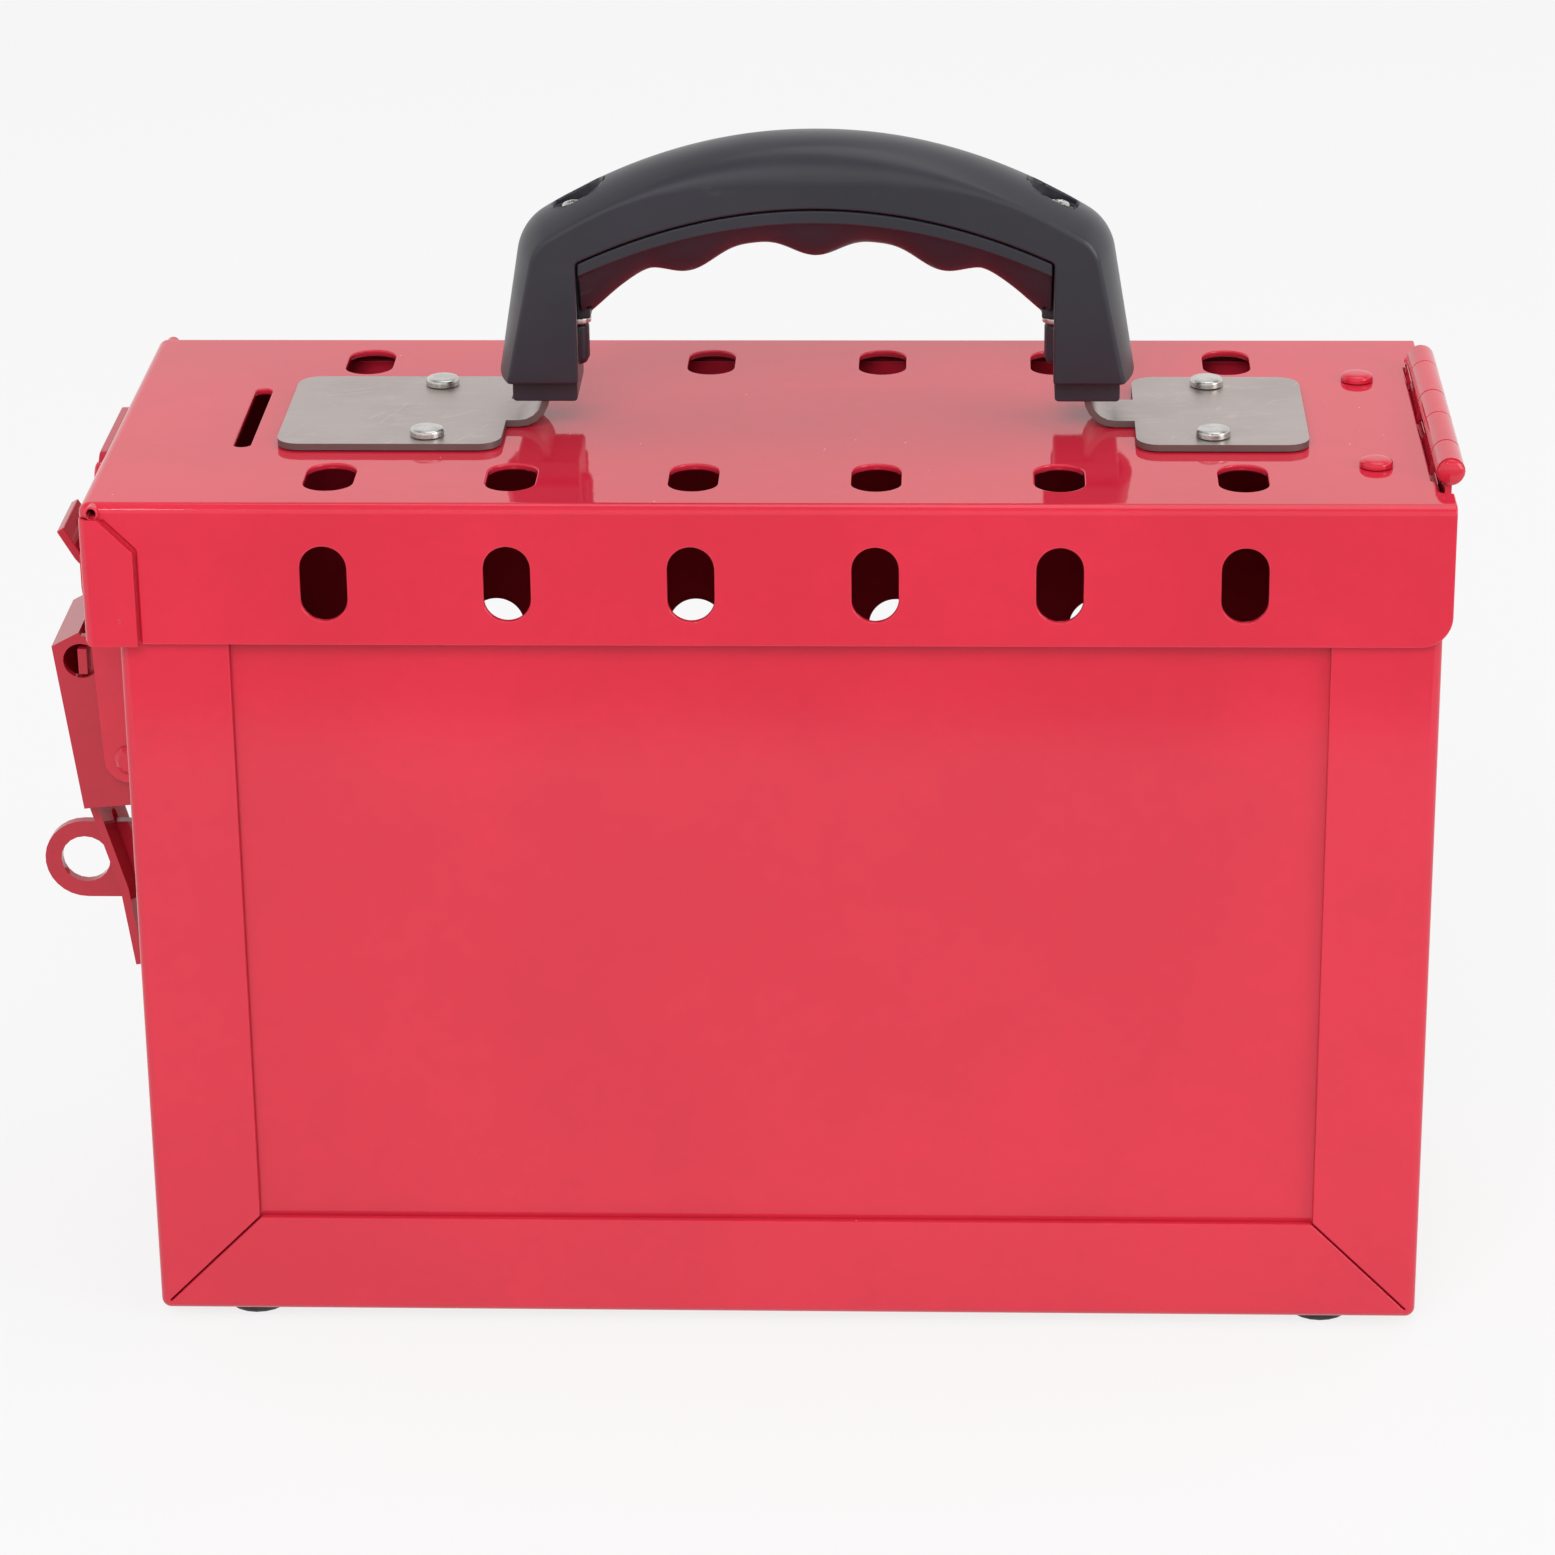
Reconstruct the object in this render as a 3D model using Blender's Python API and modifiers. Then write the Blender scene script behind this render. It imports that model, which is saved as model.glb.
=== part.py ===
"""Group lockout box: a folded steel case with a hinged lid, a carry handle and a lever latch.

The lid has twelve holes for shackles, each paired with a slot in the lid's skirt and one in the
panel behind it, and a slot for keys. Metres, +Z up, the front faces -Y. The origin is the centre
of the bounding box in plan, on the surface that the feet stand on.
"""

import bpy
import bmesh
from math import cos, sin, pi, radians, atan2
from mathutils import Matrix, Vector

MM = 0.001

# General fits and sheet sizes
SEAT = 0.3 * MM                 # gap between pieces that touch on the real object
OVERRUN = 5.0 * MM              # how far a cutter runs past what it cuts
WELD = 0.001 * MM               # points nearer than this are one point
FLAT = radians(0.1)             # faces that turn less than this are one face
SHEET = 1.2 * MM                # painted steel sheet
BEND_RADIUS = 1.8 * MM          # outside radius of a fold
SHANK_CLEARANCE = 0.25 * MM     # between a rivet or screw shank and its hole

# Case
CASE_LENGTH = 226.25 * MM
CASE_HEIGHT = 151.6 * MM        # from the underside to the top edge of its walls
CASE_DROP = 3.2 * MM            # top edge of the walls below the lid's top face
FLANGE = 18.9 * MM              # turned-in flange on the front and the back
MITRE_GAP = 0.35 * MM

# Lid
LID_DEPTH = 94.6 * MM
LID_SKIRT = 25.35 * MM
LATCH_OVERHANG = 5.35 * MM       # lid past the case's latch wall
HINGE_OVERHANG = 1.4 * MM       # lid past the case's hinge wall
SKIRT_CORNER = 5.5 * MM         # round at the hinge end of each skirt
SKIRT_GAP = 0.35 * MM           # between the skirts and the case
TAB_WIDTH = 8.5 * MM            # wrap-over tab of the latch end
TAB_STEP = 1.2 * MM
TAB_DROP = 1.3 * MM
TAB_CHAMFER_WIDTH = 5.2 * MM
TAB_CHAMFER_DROP = 8.0 * MM
TAB_BEND = 1.7 * MM
TAB_INSET = 0.6 * MM            # how far the tab sinks into the skirt that it is welded to

# Shackle holes
HOLE_COUNT = 6
HOLE_END_LATCH = 41.25 * MM     # middle of the first hole from the lid's latch end
HOLE_END_HINGE = 35.25 * MM     # middle of the last hole from the lid's hinge end
TOP_HOLE_WIDTH = 8.5 * MM
TOP_HOLE_LENGTH = 14.3 * MM
TOP_HOLE_ROW = 32.4 * MM        # from the lid's middle line
SKIRT_SLOT_WIDTH = 8.0 * MM
SKIRT_SLOT_LENGTH = 13.4 * MM
SKIRT_SLOT_DROP = 14.2 * MM
PANEL_SLOT_MARGIN = 1.0 * MM    # panel slots are larger than the skirt's by this on each side
PANEL_SLOT_EXTRA = 0.8 * MM     # and longer still, for the shackle's bend
KEY_SLOT_WIDTH = 3.0 * MM
KEY_SLOT_LENGTH = 32.8 * MM
KEY_SLOT_END = 23.8 * MM        # from the lid's latch end
BACK_HOLE_COUNT = 4
BACK_HOLE_END = 56.45 * MM      # middle of the first hole from the case's end
BACK_HOLE_RADIUS = 5.1 * MM
BACK_HOLE_DROP = 55.3 * MM

# Feet
FOOT_RADIUS = 6.0 * MM
FOOT_HEIGHT = 2.2 * MM
FOOT_TAPER = 0.7 * MM
FOOT_INSET_X = 16.8 * MM
FOOT_INSET_Y = 8.7 * MM
FOOT_RECESS_RADIUS = 3.2 * MM
FOOT_RECESS_DEPTH = 1.25 * MM
FOOT_SCREW_HEAD = 2.6 * MM
FOOT_SCREW_SHANK = 1.3 * MM
FOOT_SCREW_HEAD_HEIGHT = 0.7 * MM
FOOT_SCREW_TAIL = 2.2 * MM

# Hinge
BARREL_RADIUS = 2.5 * MM
BARREL_HALF_LENGTH = 32.0 * MM
HINGE_Y = -2.2 * MM             # hinge's middle from the lid's middle line
BARREL_RISE = 1.8 * MM          # barrel axis above the lid's top face
BARREL_INSET = 0.2 * MM         # barrel axis inside the lid's hinge edge
KNUCKLE_SHARES = (0.155, 0.24, 0.195, 0.26, 0.15)
KNUCKLE_GAP = 0.35 * MM
PIN_RADIUS = 1.1 * MM
PIN_CLEARANCE = 0.25 * MM
PIN_HEAD_RADIUS = 2.3 * MM
PIN_HEAD_HEIGHT = 0.9 * MM
PIN_DOME_SHARES = (0.5, 0.87)
NOTCH_GAP = 0.6 * MM            # between the barrel and the notch in the lid
NOTCH_STEP = 0.3 * MM           # notch's corners inside the barrel's ends
NOTCH_RELIEF_WIDTH = 2.7 * MM   # reliefs past both ends of the notch, for the pin's heads
NOTCH_RELIEF_LENGTH = 6.0 * MM
NOTCH_ROUND = 1.6 * MM
LEAF_WIDTH = 17.0 * MM
LEAF_INSET = 0.8 * MM           # leaf's ends inside the barrel's ends
LEAF_GAP = 1.4 * MM             # between the case leaf's plate and the lid leaf's necks
HINGE_RIVET_END = 7.3 * MM      # from a leaf's end
HINGE_RIVET_INSET = 12.2 * MM   # from the lid's hinge edge
HINGE_RIVET_DROP = 14.0 * MM    # case leaf rivets below the lid's top face
HINGE_RIVET_HEAD = 2.9 * MM
HINGE_RIVET_HEIGHT = 1.3 * MM
HINGE_RIVET_FLAT_SHARE = 0.5    # flat middle of a rivet's head

# Rivets
RIVET_SHANK = 1.5 * MM
RIVET_RIM_SHARE = 0.25
RIVET_TAIL_RADIUS = 2.2 * MM
RIVET_TAIL_HEIGHT = 0.8 * MM

# Handle brackets
BRACKET_SHEET = 1.2 * MM
BRACKET_HALF_DEPTH = 19.15 * MM
BRACKET_CORNER = 4.0 * MM
BRACKET_LEFT_MARGIN = 30.1 * MM     # plate from the lid's latch end
BRACKET_LEFT_LENGTH = 38.1 * MM
BRACKET_RIGHT_MARGIN = 23.0 * MM    # plate from the lid's hinge end
BRACKET_RIGHT_LENGTH = 30.0 * MM
BRACKET_NECK = 12.0 * MM
BRACKET_BEND = 5.0 * MM         # centre line radius of the bend into the handle
BRACKET_UNDER_LEFT = 1.2 * MM   # how far the left plate reaches in under its leg
STRAP_INSET = 8.4 * MM          # strap from the outer face of its leg's foot
BRACKET_STRAP_TOP = 24.0 * MM
BRACKET_STRAP_WIDTH = 11.0 * MM
HANDLE_RIVET_LEFT = 11.9 * MM   # from the plate's inner edge
HANDLE_RIVET_RIGHT = 13.4 * MM
HANDLE_RIVET_ROW = 14.3 * MM
HANDLE_RIVET_HEAD = 3.0 * MM
HANDLE_RIVET_HEIGHT = 1.3 * MM
HANDLE_RIVET_FLAT_SHARE = 0.75

# Handle
HANDLE_LEG_LEAN = 4.1 * MM      # how far a leg leans in between its foot and its shoulder
HANDLE_LEG_DEPTH = 14.4 * MM    # along the handle, at its foot
HANDLE_FOOT_Z = 9.2 * MM
HANDLE_SHOULDER_Z = 33.7 * MM
HANDLE_TOP = 52.5 * MM
HANDLE_SHOULDER_RADIUS = 9.5 * MM
SHOULDER_END = radians(60.0)    # where the shoulder's arc runs into the handle's back
HANDLE_UNDER_TOP = 40.85 * MM    # underside of the shell in the middle
HANDLE_UNDER_END = 31.1 * MM    # and beside the legs
HANDLE_HALF_WIDTH = 9.8 * MM
HANDLE_WALL = 1.9 * MM
HANDLE_DOME = 3.0 * MM          # crown of the back above the edges of its sides
HANDLE_DOME_FOOT = 2.0 * MM     # and at the feet
HANDLE_ARCH_POWER = 2.35        # shape of the back: 2 is a parabola, more is flatter in the middle
DOME_SHARES = (-1.0, -0.68, -0.34, 0.0, 0.34, 0.68, 1.0)
SCREW_INSET = 13.9 * MM         # screw from the outer face of its leg's foot
SCREW_HEAD_RADIUS = 2.7 * MM
SCREW_HEAD_HEIGHT = 1.8 * MM
SCREW_SHANK_RADIUS = 1.7 * MM
SCREW_END_Z = 11.5 * MM
SCREW_SEAT_Z = 38.6 * MM
BOSS_RADIUS = 5.4 * MM
BOSS_BOTTOM_Z = 36.8 * MM
COUNTERBORE_CLEARANCE = 1.3 * MM
GRIP_BAND = 2.7 * MM            # flange of the grip that shows under the shell
GRIP_BAND_HALF_WIDTH = 9.3 * MM
GRIP_HALF_WIDTH = 7.6 * MM
GRIP_INSIDE = 3.0 * MM          # how far the grip reaches up into the shell
GRIP_OVERLAP = 4.4 * MM         # how far the grip's ends reach into the legs
GRIP_END_Z = 19.3 * MM
GRIP_END_TOP_Z = 33.0 * MM
GRIP_DEPTH = 6.9 * MM           # mean depth of the finger waves under the shell
GRIP_WAVE = 1.33 * MM
GRIP_WAVE_PITCH = 21.5 * MM
GRIP_END_RUN = 13.0 * MM        # the waves' deeper ends start this far from the legs
GRIP_END_GROWTH = 5.2 * MM      # extra depth at the ends of the waves
GRIP_ROUND = 2.4 * MM
LEG_PLUG_DROP = 3.3 * MM        # plug in a leg, below the shell's foot
LEG_PLUG_HEIGHT = 11.0 * MM
LEG_PLUG_ROUND = 1.6 * MM
LEG_PLUG_INSET = 2.9 * MM       # plug's lower end from the outer face of its leg's foot, past the wall
LEG_PLUG_LEAN = 1.5 * MM        # how far its outer side leans in

# Latch
LATCH_SHEET = 1.5 * MM
PIVOT_OUT = 12.75 * MM           # lever pivot from the case's latch wall
PIVOT_DROP = 42.0 * MM          # below the lid's top face
LEVER_HALF_WIDTH = 12.0 * MM
LEVER_TOP = 3.6 * MM            # lever's top corner above the pivot
LEVER_OUT = 5.45 * MM            # lever's outer face from the pivot, at its top
LEVER_LOWER_OUT = 1.5 * MM      # and at the end of its flanges
LEVER_FLANGE = 28.5 * MM        # end of the flanges below the pivot
LEVER_TIP_RISE = 5.6 * MM
LEVER_TONGUE = 8.5 * MM         # half width
LEVER_TONGUE_IN = 5.0 * MM      # tongue's lower part inside of the pivot
LEVER_TONGUE_TILT = 2.0 * MM       # and so much further in at its end
LEVER_TONGUE_BEND = 46.0 * MM
LEVER_TONGUE_END = 61.0 * MM
LEVER_FLANGE_IN = 10.9 * MM
FLANGE_SHARES = ((0.72, -0.84), (1.0, -0.63), (1.0, -0.07), (0.68, 0.16))
LEVER_HOLE_RADIUS = 2.75 * MM
LINK_PIVOT_IN = 7.7 * MM        # link's pivot on the lever, inside and below the lever's pivot
LINK_PIVOT_DROP = 18.2 * MM
LINK_END_RADIUS = 4.6 * MM
LINK_TOP_WIDTH = 3.5 * MM
LINK_SPREAD = 5.0 * MM           # how far the cheeks' edges lean over between the bar and the pins
LINK_RIGHT_SHARES = ((0.45, 0.35), (0.04, 0.15))
LINK_LEFT_SHARES = ((0.0, 0.15), (0.22, 0.45))
LINK_BAR_RADIUS = 1.2 * MM
LINK_PIN_RADIUS = 1.6 * MM
LINK_PIN_HEAD = 2.8 * MM
LINK_PIN_HEAD_HEIGHT = 0.8 * MM
LINK_GAP = 0.35 * MM
HOOK_HALF_WIDTH = 8.0 * MM
HOOK_RADIUS = 3.6 * MM          # centre line
HOOK_CENTRE_DROP = 21.7 * MM
HOOK_LIP = 5.8 * MM
HOOK_TURN = radians(150.0)
BAR_DROP = 21.4 * MM
CATCH_HALF_WIDTH = 15.0 * MM
CATCH_TOP_DROP = 2.2 * MM
CATCH_BOTTOM_DROP = 19.6 * MM
CATCH_CORNER = 3.0 * MM
CATCH_RIVET_ROW = 11.2 * MM
CATCH_RIVET_DROP = 7.2 * MM
CATCH_RIVET_HEAD = 2.6 * MM
CATCH_RIVET_HEIGHT = 1.0 * MM
EAR_HALF_WIDTH = 10.2 * MM
EAR_RADIUS = 2.4 * MM
EAR_SHOULDER = 3.6 * MM
EAR_ROOT_TOP = 9.0 * MM
EAR_ROOT_BOTTOM = 27.0 * MM
EAR_WAIST_OUT = 2.0 * MM
EAR_WAIST_DROP = 12.0 * MM
EAR_TAB_THICKNESS = 1.6 * MM
EAR_TAB_HEIGHT = 4.8 * MM
EAR_TAB_PROUD = 0.1 * MM        # of the lever's flange
BASE_TOP_DROP = 35.5 * MM
BASE_BOTTOM_DROP = 70.5 * MM
BASE_RIVET_DROPS = (39.5 * MM, 66.5 * MM)
BASE_RIVET_HEAD = 2.4 * MM
BASE_RIVET_HEIGHT = 0.9 * MM
STAPLE_SHEET = 2.0 * MM
STAPLE_OUT = 16.65 * MM          # middle of the eye from the case's latch wall
STAPLE_DROP = 85.2 * MM
STAPLE_EYE_RADIUS = 4.5 * MM
EAR_BACK_SHARE = 0.5            # where the ears' back line leaves the base
SLOT_CORNER_SHARE = 0.9
STAPLE_RADIUS = 7.5 * MM
STAPLE_FOOT_HALF_WIDTH = 8.0 * MM
STAPLE_FOOT_OVER = 4.0 * MM     # foot beyond the blade, above and below
STAPLE_RIVET_ROW = 4.8 * MM
STAPLE_SLOT_CLEARANCE = 0.6 * MM
STAPLE_SLOT_OVER = 2.4 * MM

# Facets
ARC_STEPS = 5                   # steps in a quarter turn of a plain round
HALF_STEPS = 8                  # steps in the half turn at the end of a slot
CIRCLE_SIDES = 20
RIVET_SIDES = 12
DOME_STEPS = 2
ARCH_STEPS = 8                  # steps in half of the handle's back
WAVE_STEPS = 32                 # steps along the grip's waves

# Places worked out from the sizes
LID_LENGTH = CASE_LENGTH + LATCH_OVERHANG + HINGE_OVERHANG
LID_CASE_OFFSET = (LATCH_OVERHANG - HINGE_OVERHANG) / 2
REACH_LATCH = CASE_LENGTH / 2 - LID_CASE_OFFSET + STAPLE_OUT + STAPLE_RADIUS
REACH_HINGE = LID_LENGTH / 2 - BARREL_INSET + BARREL_RADIUS
LID_X = (REACH_LATCH - REACH_HINGE) / 2
CASE_X = LID_X + LID_CASE_OFFSET
TOP_Z = FOOT_HEIGHT + CASE_HEIGHT + CASE_DROP
LATCH_WALL_X = CASE_X - CASE_LENGTH / 2
HINGE_WALL_X = CASE_X + CASE_LENGTH / 2
LID_LATCH_X = LID_X - LID_LENGTH / 2
LID_HINGE_X = LID_X + LID_LENGTH / 2
CASE_HALF_DEPTH = LID_DEPTH / 2 - SHEET - SKIRT_GAP
BARREL_X = LID_HINGE_X - BARREL_INSET
NOTCH_HALF_LENGTH = BARREL_HALF_LENGTH - NOTCH_STEP
LEAF_HALF_LENGTH = BARREL_HALF_LENGTH - LEAF_INSET
LEAF_YS = (HINGE_Y - LEAF_HALF_LENGTH, HINGE_Y + LEAF_HALF_LENGTH)
HINGE_RIVET_ROW = LEAF_HALF_LENGTH - HINGE_RIVET_END
HINGE_RIVET_YS = (HINGE_Y - HINGE_RIVET_ROW, HINGE_Y + HINGE_RIVET_ROW)
BARREL_Z = TOP_Z + BARREL_RISE
PIVOT_X = LATCH_WALL_X - PIVOT_OUT
PIVOT_Z = TOP_Z - PIVOT_DROP
CATCH_FACE_X = LID_LATCH_X - SEAT - LATCH_SHEET
HOOK_X = CATCH_FACE_X + LATCH_SHEET / 2 - HOOK_RADIUS
HOLE_PITCH = (LID_LENGTH - HOLE_END_LATCH - HOLE_END_HINGE) / (HOLE_COUNT - 1)
HOLE_XS = [LID_LATCH_X + HOLE_END_LATCH + i * HOLE_PITCH for i in range(HOLE_COUNT)]
BACK_HOLE_PITCH = (CASE_LENGTH - 2 * BACK_HOLE_END) / (BACK_HOLE_COUNT - 1)
BACK_HOLE_XS = [LATCH_WALL_X + BACK_HOLE_END + i * BACK_HOLE_PITCH for i in range(BACK_HOLE_COUNT)]
PLATE_LEFT_IN_X = LID_LATCH_X + BRACKET_LEFT_MARGIN + BRACKET_LEFT_LENGTH
PLATE_RIGHT_IN_X = LID_HINGE_X - BRACKET_RIGHT_MARGIN - BRACKET_RIGHT_LENGTH
HANDLE_X = (PLATE_LEFT_IN_X + PLATE_RIGHT_IN_X) / 2
HANDLE_HALF_SPAN = (PLATE_RIGHT_IN_X - PLATE_LEFT_IN_X) / 2
HANDLE_SHOULDER_SPAN = HANDLE_HALF_SPAN - HANDLE_LEG_LEAN
HANDLE_LEG_IN = HANDLE_HALF_SPAN - HANDLE_LEG_DEPTH
BRACKET_STRAP_OFFSET = HANDLE_HALF_SPAN - STRAP_INSET
SCREW_OFFSET = HANDLE_HALF_SPAN - SCREW_INSET
GRIP_END_OFFSET = HANDLE_LEG_IN + GRIP_OVERLAP
GRIP_WAVE_END = HANDLE_LEG_IN - GRIP_END_RUN
PANEL_OUTER_Y = CASE_HALF_DEPTH - SHEET - SEAT


# Collections and materials

def clear_scene():
    for item in list(bpy.data.objects):
        bpy.data.objects.remove(item, do_unlink=True)


def new_collection(name):
    collection = bpy.data.collections.new(name)
    bpy.context.scene.collection.children.link(collection)
    return collection


clear_scene()
PARTS = new_collection("group_lockout_box")
CUTTERS = new_collection("cutters")


def new_material(name, colour, roughness, metallic=0.0):
    material = bpy.data.materials.new(name)
    material.use_nodes = True
    shader = material.node_tree.nodes["Principled BSDF"]
    shader.inputs["Base Color"].default_value = (*colour, 1.0)
    shader.inputs["Roughness"].default_value = roughness
    shader.inputs["Metallic"].default_value = metallic
    material.diffuse_color = (*colour, 1.0)
    return material


RED_COAT = (0.74, 0.035, 0.06)
STEEL = (0.42, 0.40, 0.37)
PLASTIC = (0.045, 0.043, 0.052)
RUBBER = (0.02, 0.02, 0.022)


# Outlines, as lists of points in a plane

def arc(cx, cy, radius, start, end, steps=ARC_STEPS):
    """Points on an arc from the start angle to the end angle, both included."""
    points = []
    for i in range(steps + 1):
        angle = start + (end - start) * i / steps
        points.append((cx + radius * cos(angle), cy + radius * sin(angle)))
    return points


def circle(cx, cy, radius, sides=CIRCLE_SIDES):
    return arc(cx, cy, radius, 0, 2 * pi * (sides - 1) / sides, sides - 1)


def rounded_rectangle(x0, x1, y0, y1, radius, steps=ARC_STEPS):
    return (arc(x1 - radius, y0 + radius, radius, -pi / 2, 0, steps)
            + arc(x1 - radius, y1 - radius, radius, 0, pi / 2, steps)
            + arc(x0 + radius, y1 - radius, radius, pi / 2, pi, steps)
            + arc(x0 + radius, y0 + radius, radius, pi, 3 * pi / 2, steps))


def rectangle(x0, x1, y0, y1):
    return [(x0, y0), (x1, y0), (x1, y1), (x0, y1)]


def obround(cx, cy, width, height):
    """A slot with round ends, along the longer of its two sizes."""
    radius = min(width, height) / 2
    run = max(width, height) / 2 - radius
    if height > width:
        return arc(cx, cy + run, radius, 0, pi, HALF_STEPS) + arc(cx, cy - run, radius, pi, 2 * pi, HALF_STEPS)
    return (arc(cx + run, cy, radius, -pi / 2, pi / 2, HALF_STEPS)
            + arc(cx - run, cy, radius, pi / 2, 3 * pi / 2, HALF_STEPS))


def strip(points, thickness):
    """The outline of a sheet of this thickness along a centre line."""
    left, right = [], []
    for i, point in enumerate(points):
        before = Vector(points[max(i - 1, 0)])
        after = Vector(points[min(i + 1, len(points) - 1)])
        along = (after - before).normalized()
        across = Vector((-along.y, along.x)) * thickness / 2
        left.append(tuple(Vector(point) + across))
        right.append(tuple(Vector(point) - across))
    return left + right[::-1]


# Solids

PLANES = {
    "XY": Matrix(((1, 0, 0, 0), (0, 1, 0, 0), (0, 0, 1, 0), (0, 0, 0, 1))),
    "XZ": Matrix(((1, 0, 0, 0), (0, 0, -1, 0), (0, 1, 0, 0), (0, 0, 0, 1))),
    "YZ": Matrix(((0, 0, 1, 0), (1, 0, 0, 0), (0, 1, 0, 0), (0, 0, 0, 1))),
}


def prism(name, outlines, plane, low, high, collection=None):
    """A flat outline, with any holes after it, extruded from low to high across its plane."""
    curve = bpy.data.curves.new(name, "CURVE")
    curve.dimensions = "2D"
    curve.fill_mode = "BOTH"
    curve.extrude = (high - low) / 2
    for outline in outlines:
        spline = curve.splines.new("POLY")
        spline.points.add(len(outline) - 1)
        for point, (x, y) in zip(spline.points, outline):
            point.co = (x, y, 0, 1)
        spline.use_cyclic_u = True
    guide = bpy.data.objects.new(name + "_outline", curve)
    CUTTERS.objects.link(guide)
    turn = PLANES[plane]
    middle = (low + high) / 2
    across = turn.to_3x3() @ Vector((0, 0, 1))
    if plane == "XZ":
        middle = -middle
    guide.matrix_world = Matrix.Translation(across * middle) @ turn
    bpy.context.view_layer.update()
    evaluated = guide.evaluated_get(bpy.context.evaluated_depsgraph_get())
    mesh = bpy.data.meshes.new_from_object(evaluated)
    solid = add_mesh(name, mesh, collection)
    solid.matrix_world = guide.matrix_world
    bpy.data.objects.remove(guide, do_unlink=True)
    weld(mesh)
    return solid


def weld(mesh):
    """Join the loose caps and edges of a mesh and point its faces outwards."""
    shape = bmesh.new()
    shape.from_mesh(mesh)
    bmesh.ops.remove_doubles(shape, verts=shape.verts, dist=WELD)
    bmesh.ops.recalc_face_normals(shape, faces=shape.faces)
    shape.to_mesh(mesh)
    shape.free()


def add_mesh(name, mesh, collection=None):
    mesh.name = name
    item = bpy.data.objects.new(name, mesh)
    target = collection or PARTS
    target.objects.link(item)
    if target is CUTTERS:
        item.hide_render = True
        item.display_type = "WIRE"
    return item


def turned(name, profile, centre, axis, collection=None, sides=CIRCLE_SIDES):
    """A profile of (radius, height) points from top to bottom, turned round an axis."""
    shape = bmesh.new()
    points = [shape.verts.new((radius, 0, height)) for radius, height in profile]
    for first, second in zip(points, points[1:]):
        shape.edges.new((first, second))
    mesh = bpy.data.meshes.new(name)
    shape.to_mesh(mesh)
    shape.free()
    item = add_mesh(name, mesh, collection)
    item.location = centre
    item.rotation_mode = "QUATERNION"
    item.rotation_quaternion = Vector((0, 0, 1)).rotation_difference(Vector(axis))
    screw = item.modifiers.new("turn", "SCREW")
    screw.steps = sides
    screw.render_steps = sides
    screw.use_merge_vertices = True
    screw.merge_threshold = WELD
    return item


def joined(name, pieces, collection=None):
    """Several solids as one mesh of separate bodies, placed in the world."""
    shape = bmesh.new()
    bpy.context.view_layer.update()
    graph = bpy.context.evaluated_depsgraph_get()
    for piece in pieces:
        mesh = bpy.data.meshes.new_from_object(piece.evaluated_get(graph))
        mesh.transform(piece.matrix_world)
        shape.from_mesh(mesh)
        bpy.data.meshes.remove(mesh)
    mesh = bpy.data.meshes.new(name)
    shape.to_mesh(mesh)
    shape.free()
    for piece in pieces:
        bpy.data.objects.remove(piece, do_unlink=True)
    return add_mesh(name, mesh, collection)


def boolean(item, other, operation="DIFFERENCE"):
    modifier = item.modifiers.new(operation.lower(), "BOOLEAN")
    modifier.operation = operation
    modifier.solver = "EXACT"
    modifier.object = other
    return item


def cut(item, *cutters):
    for cutter in cutters:
        boolean(item, cutter, "DIFFERENCE")
    return item


def fuse(item, *others):
    for other in others:
        boolean(item, other, "UNION")
    return item


def round_edges(item, wanted, radius, steps=3):
    """Round those edges of a mesh whose two ends, in world space, the test accepts."""
    shape = bmesh.new()
    shape.from_mesh(item.data)
    flat_edges = [edge for edge in shape.edges if len(edge.link_faces) == 2 and edge.calc_face_angle(0) < FLAT]
    bmesh.ops.dissolve_edges(shape, edges=flat_edges, use_verts=False)
    world = item.matrix_world
    chosen = []
    for edge in shape.edges:
        if len(edge.link_faces) == 2 and edge.calc_face_angle(0) > radians(30):
            if wanted(world @ edge.verts[0].co, world @ edge.verts[1].co):
                chosen.append(edge)
    bmesh.ops.bevel(shape, geom=chosen, offset=radius, segments=steps, profile=0.5,
                    affect="EDGES", clamp_overlap=True)
    shape.to_mesh(item.data)
    shape.free()
    return item


def finish(item, material, smooth=True):
    item.data.materials.clear()
    item.data.materials.append(material)
    if smooth:
        item.data.shade_smooth()
        item.data.set_sharp_from_angle(angle=radians(35))
    return item


def rivet_profile(head_radius, head_height, grip, flat_share=0):
    """A domed head with a flat middle, a shank through the grip and a set tail."""
    profile = [(0, head_height)]
    if flat_share:
        profile.append((head_radius * flat_share, head_height))
    for i in range(1, DOME_STEPS + 1):
        angle = pi / 2 * i / DOME_STEPS
        height = head_height * (cos(angle) + RIVET_RIM_SHARE) / (1 + RIVET_RIM_SHARE)
        profile.append((head_radius * (flat_share + (1 - flat_share) * sin(angle)), height))
    profile += [(head_radius, 0), (RIVET_SHANK, 0), (RIVET_SHANK, -grip), (RIVET_TAIL_RADIUS, -grip),
                (RIVET_TAIL_RADIUS, -grip - RIVET_TAIL_HEIGHT), (0, -grip - RIVET_TAIL_HEIGHT)]
    return profile


def rivets(places, axis, profile, material):
    """One turned piece for each name and place, all alike."""
    made = []
    for name, place in places.items():
        made.append(finish(turned(name, profile, place, axis, sides=RIVET_SIDES), material))
    return made


def shank_cutter(name, place, axis, length):
    """A hole for a rivet shank, from the place back along the axis."""
    radius = RIVET_SHANK + SHANK_CLEARANCE
    profile = [(0, OVERRUN), (radius, OVERRUN), (radius, -length), (0, -length)]
    return turned(name, profile, place, axis, CUTTERS, RIVET_SIDES)


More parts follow.
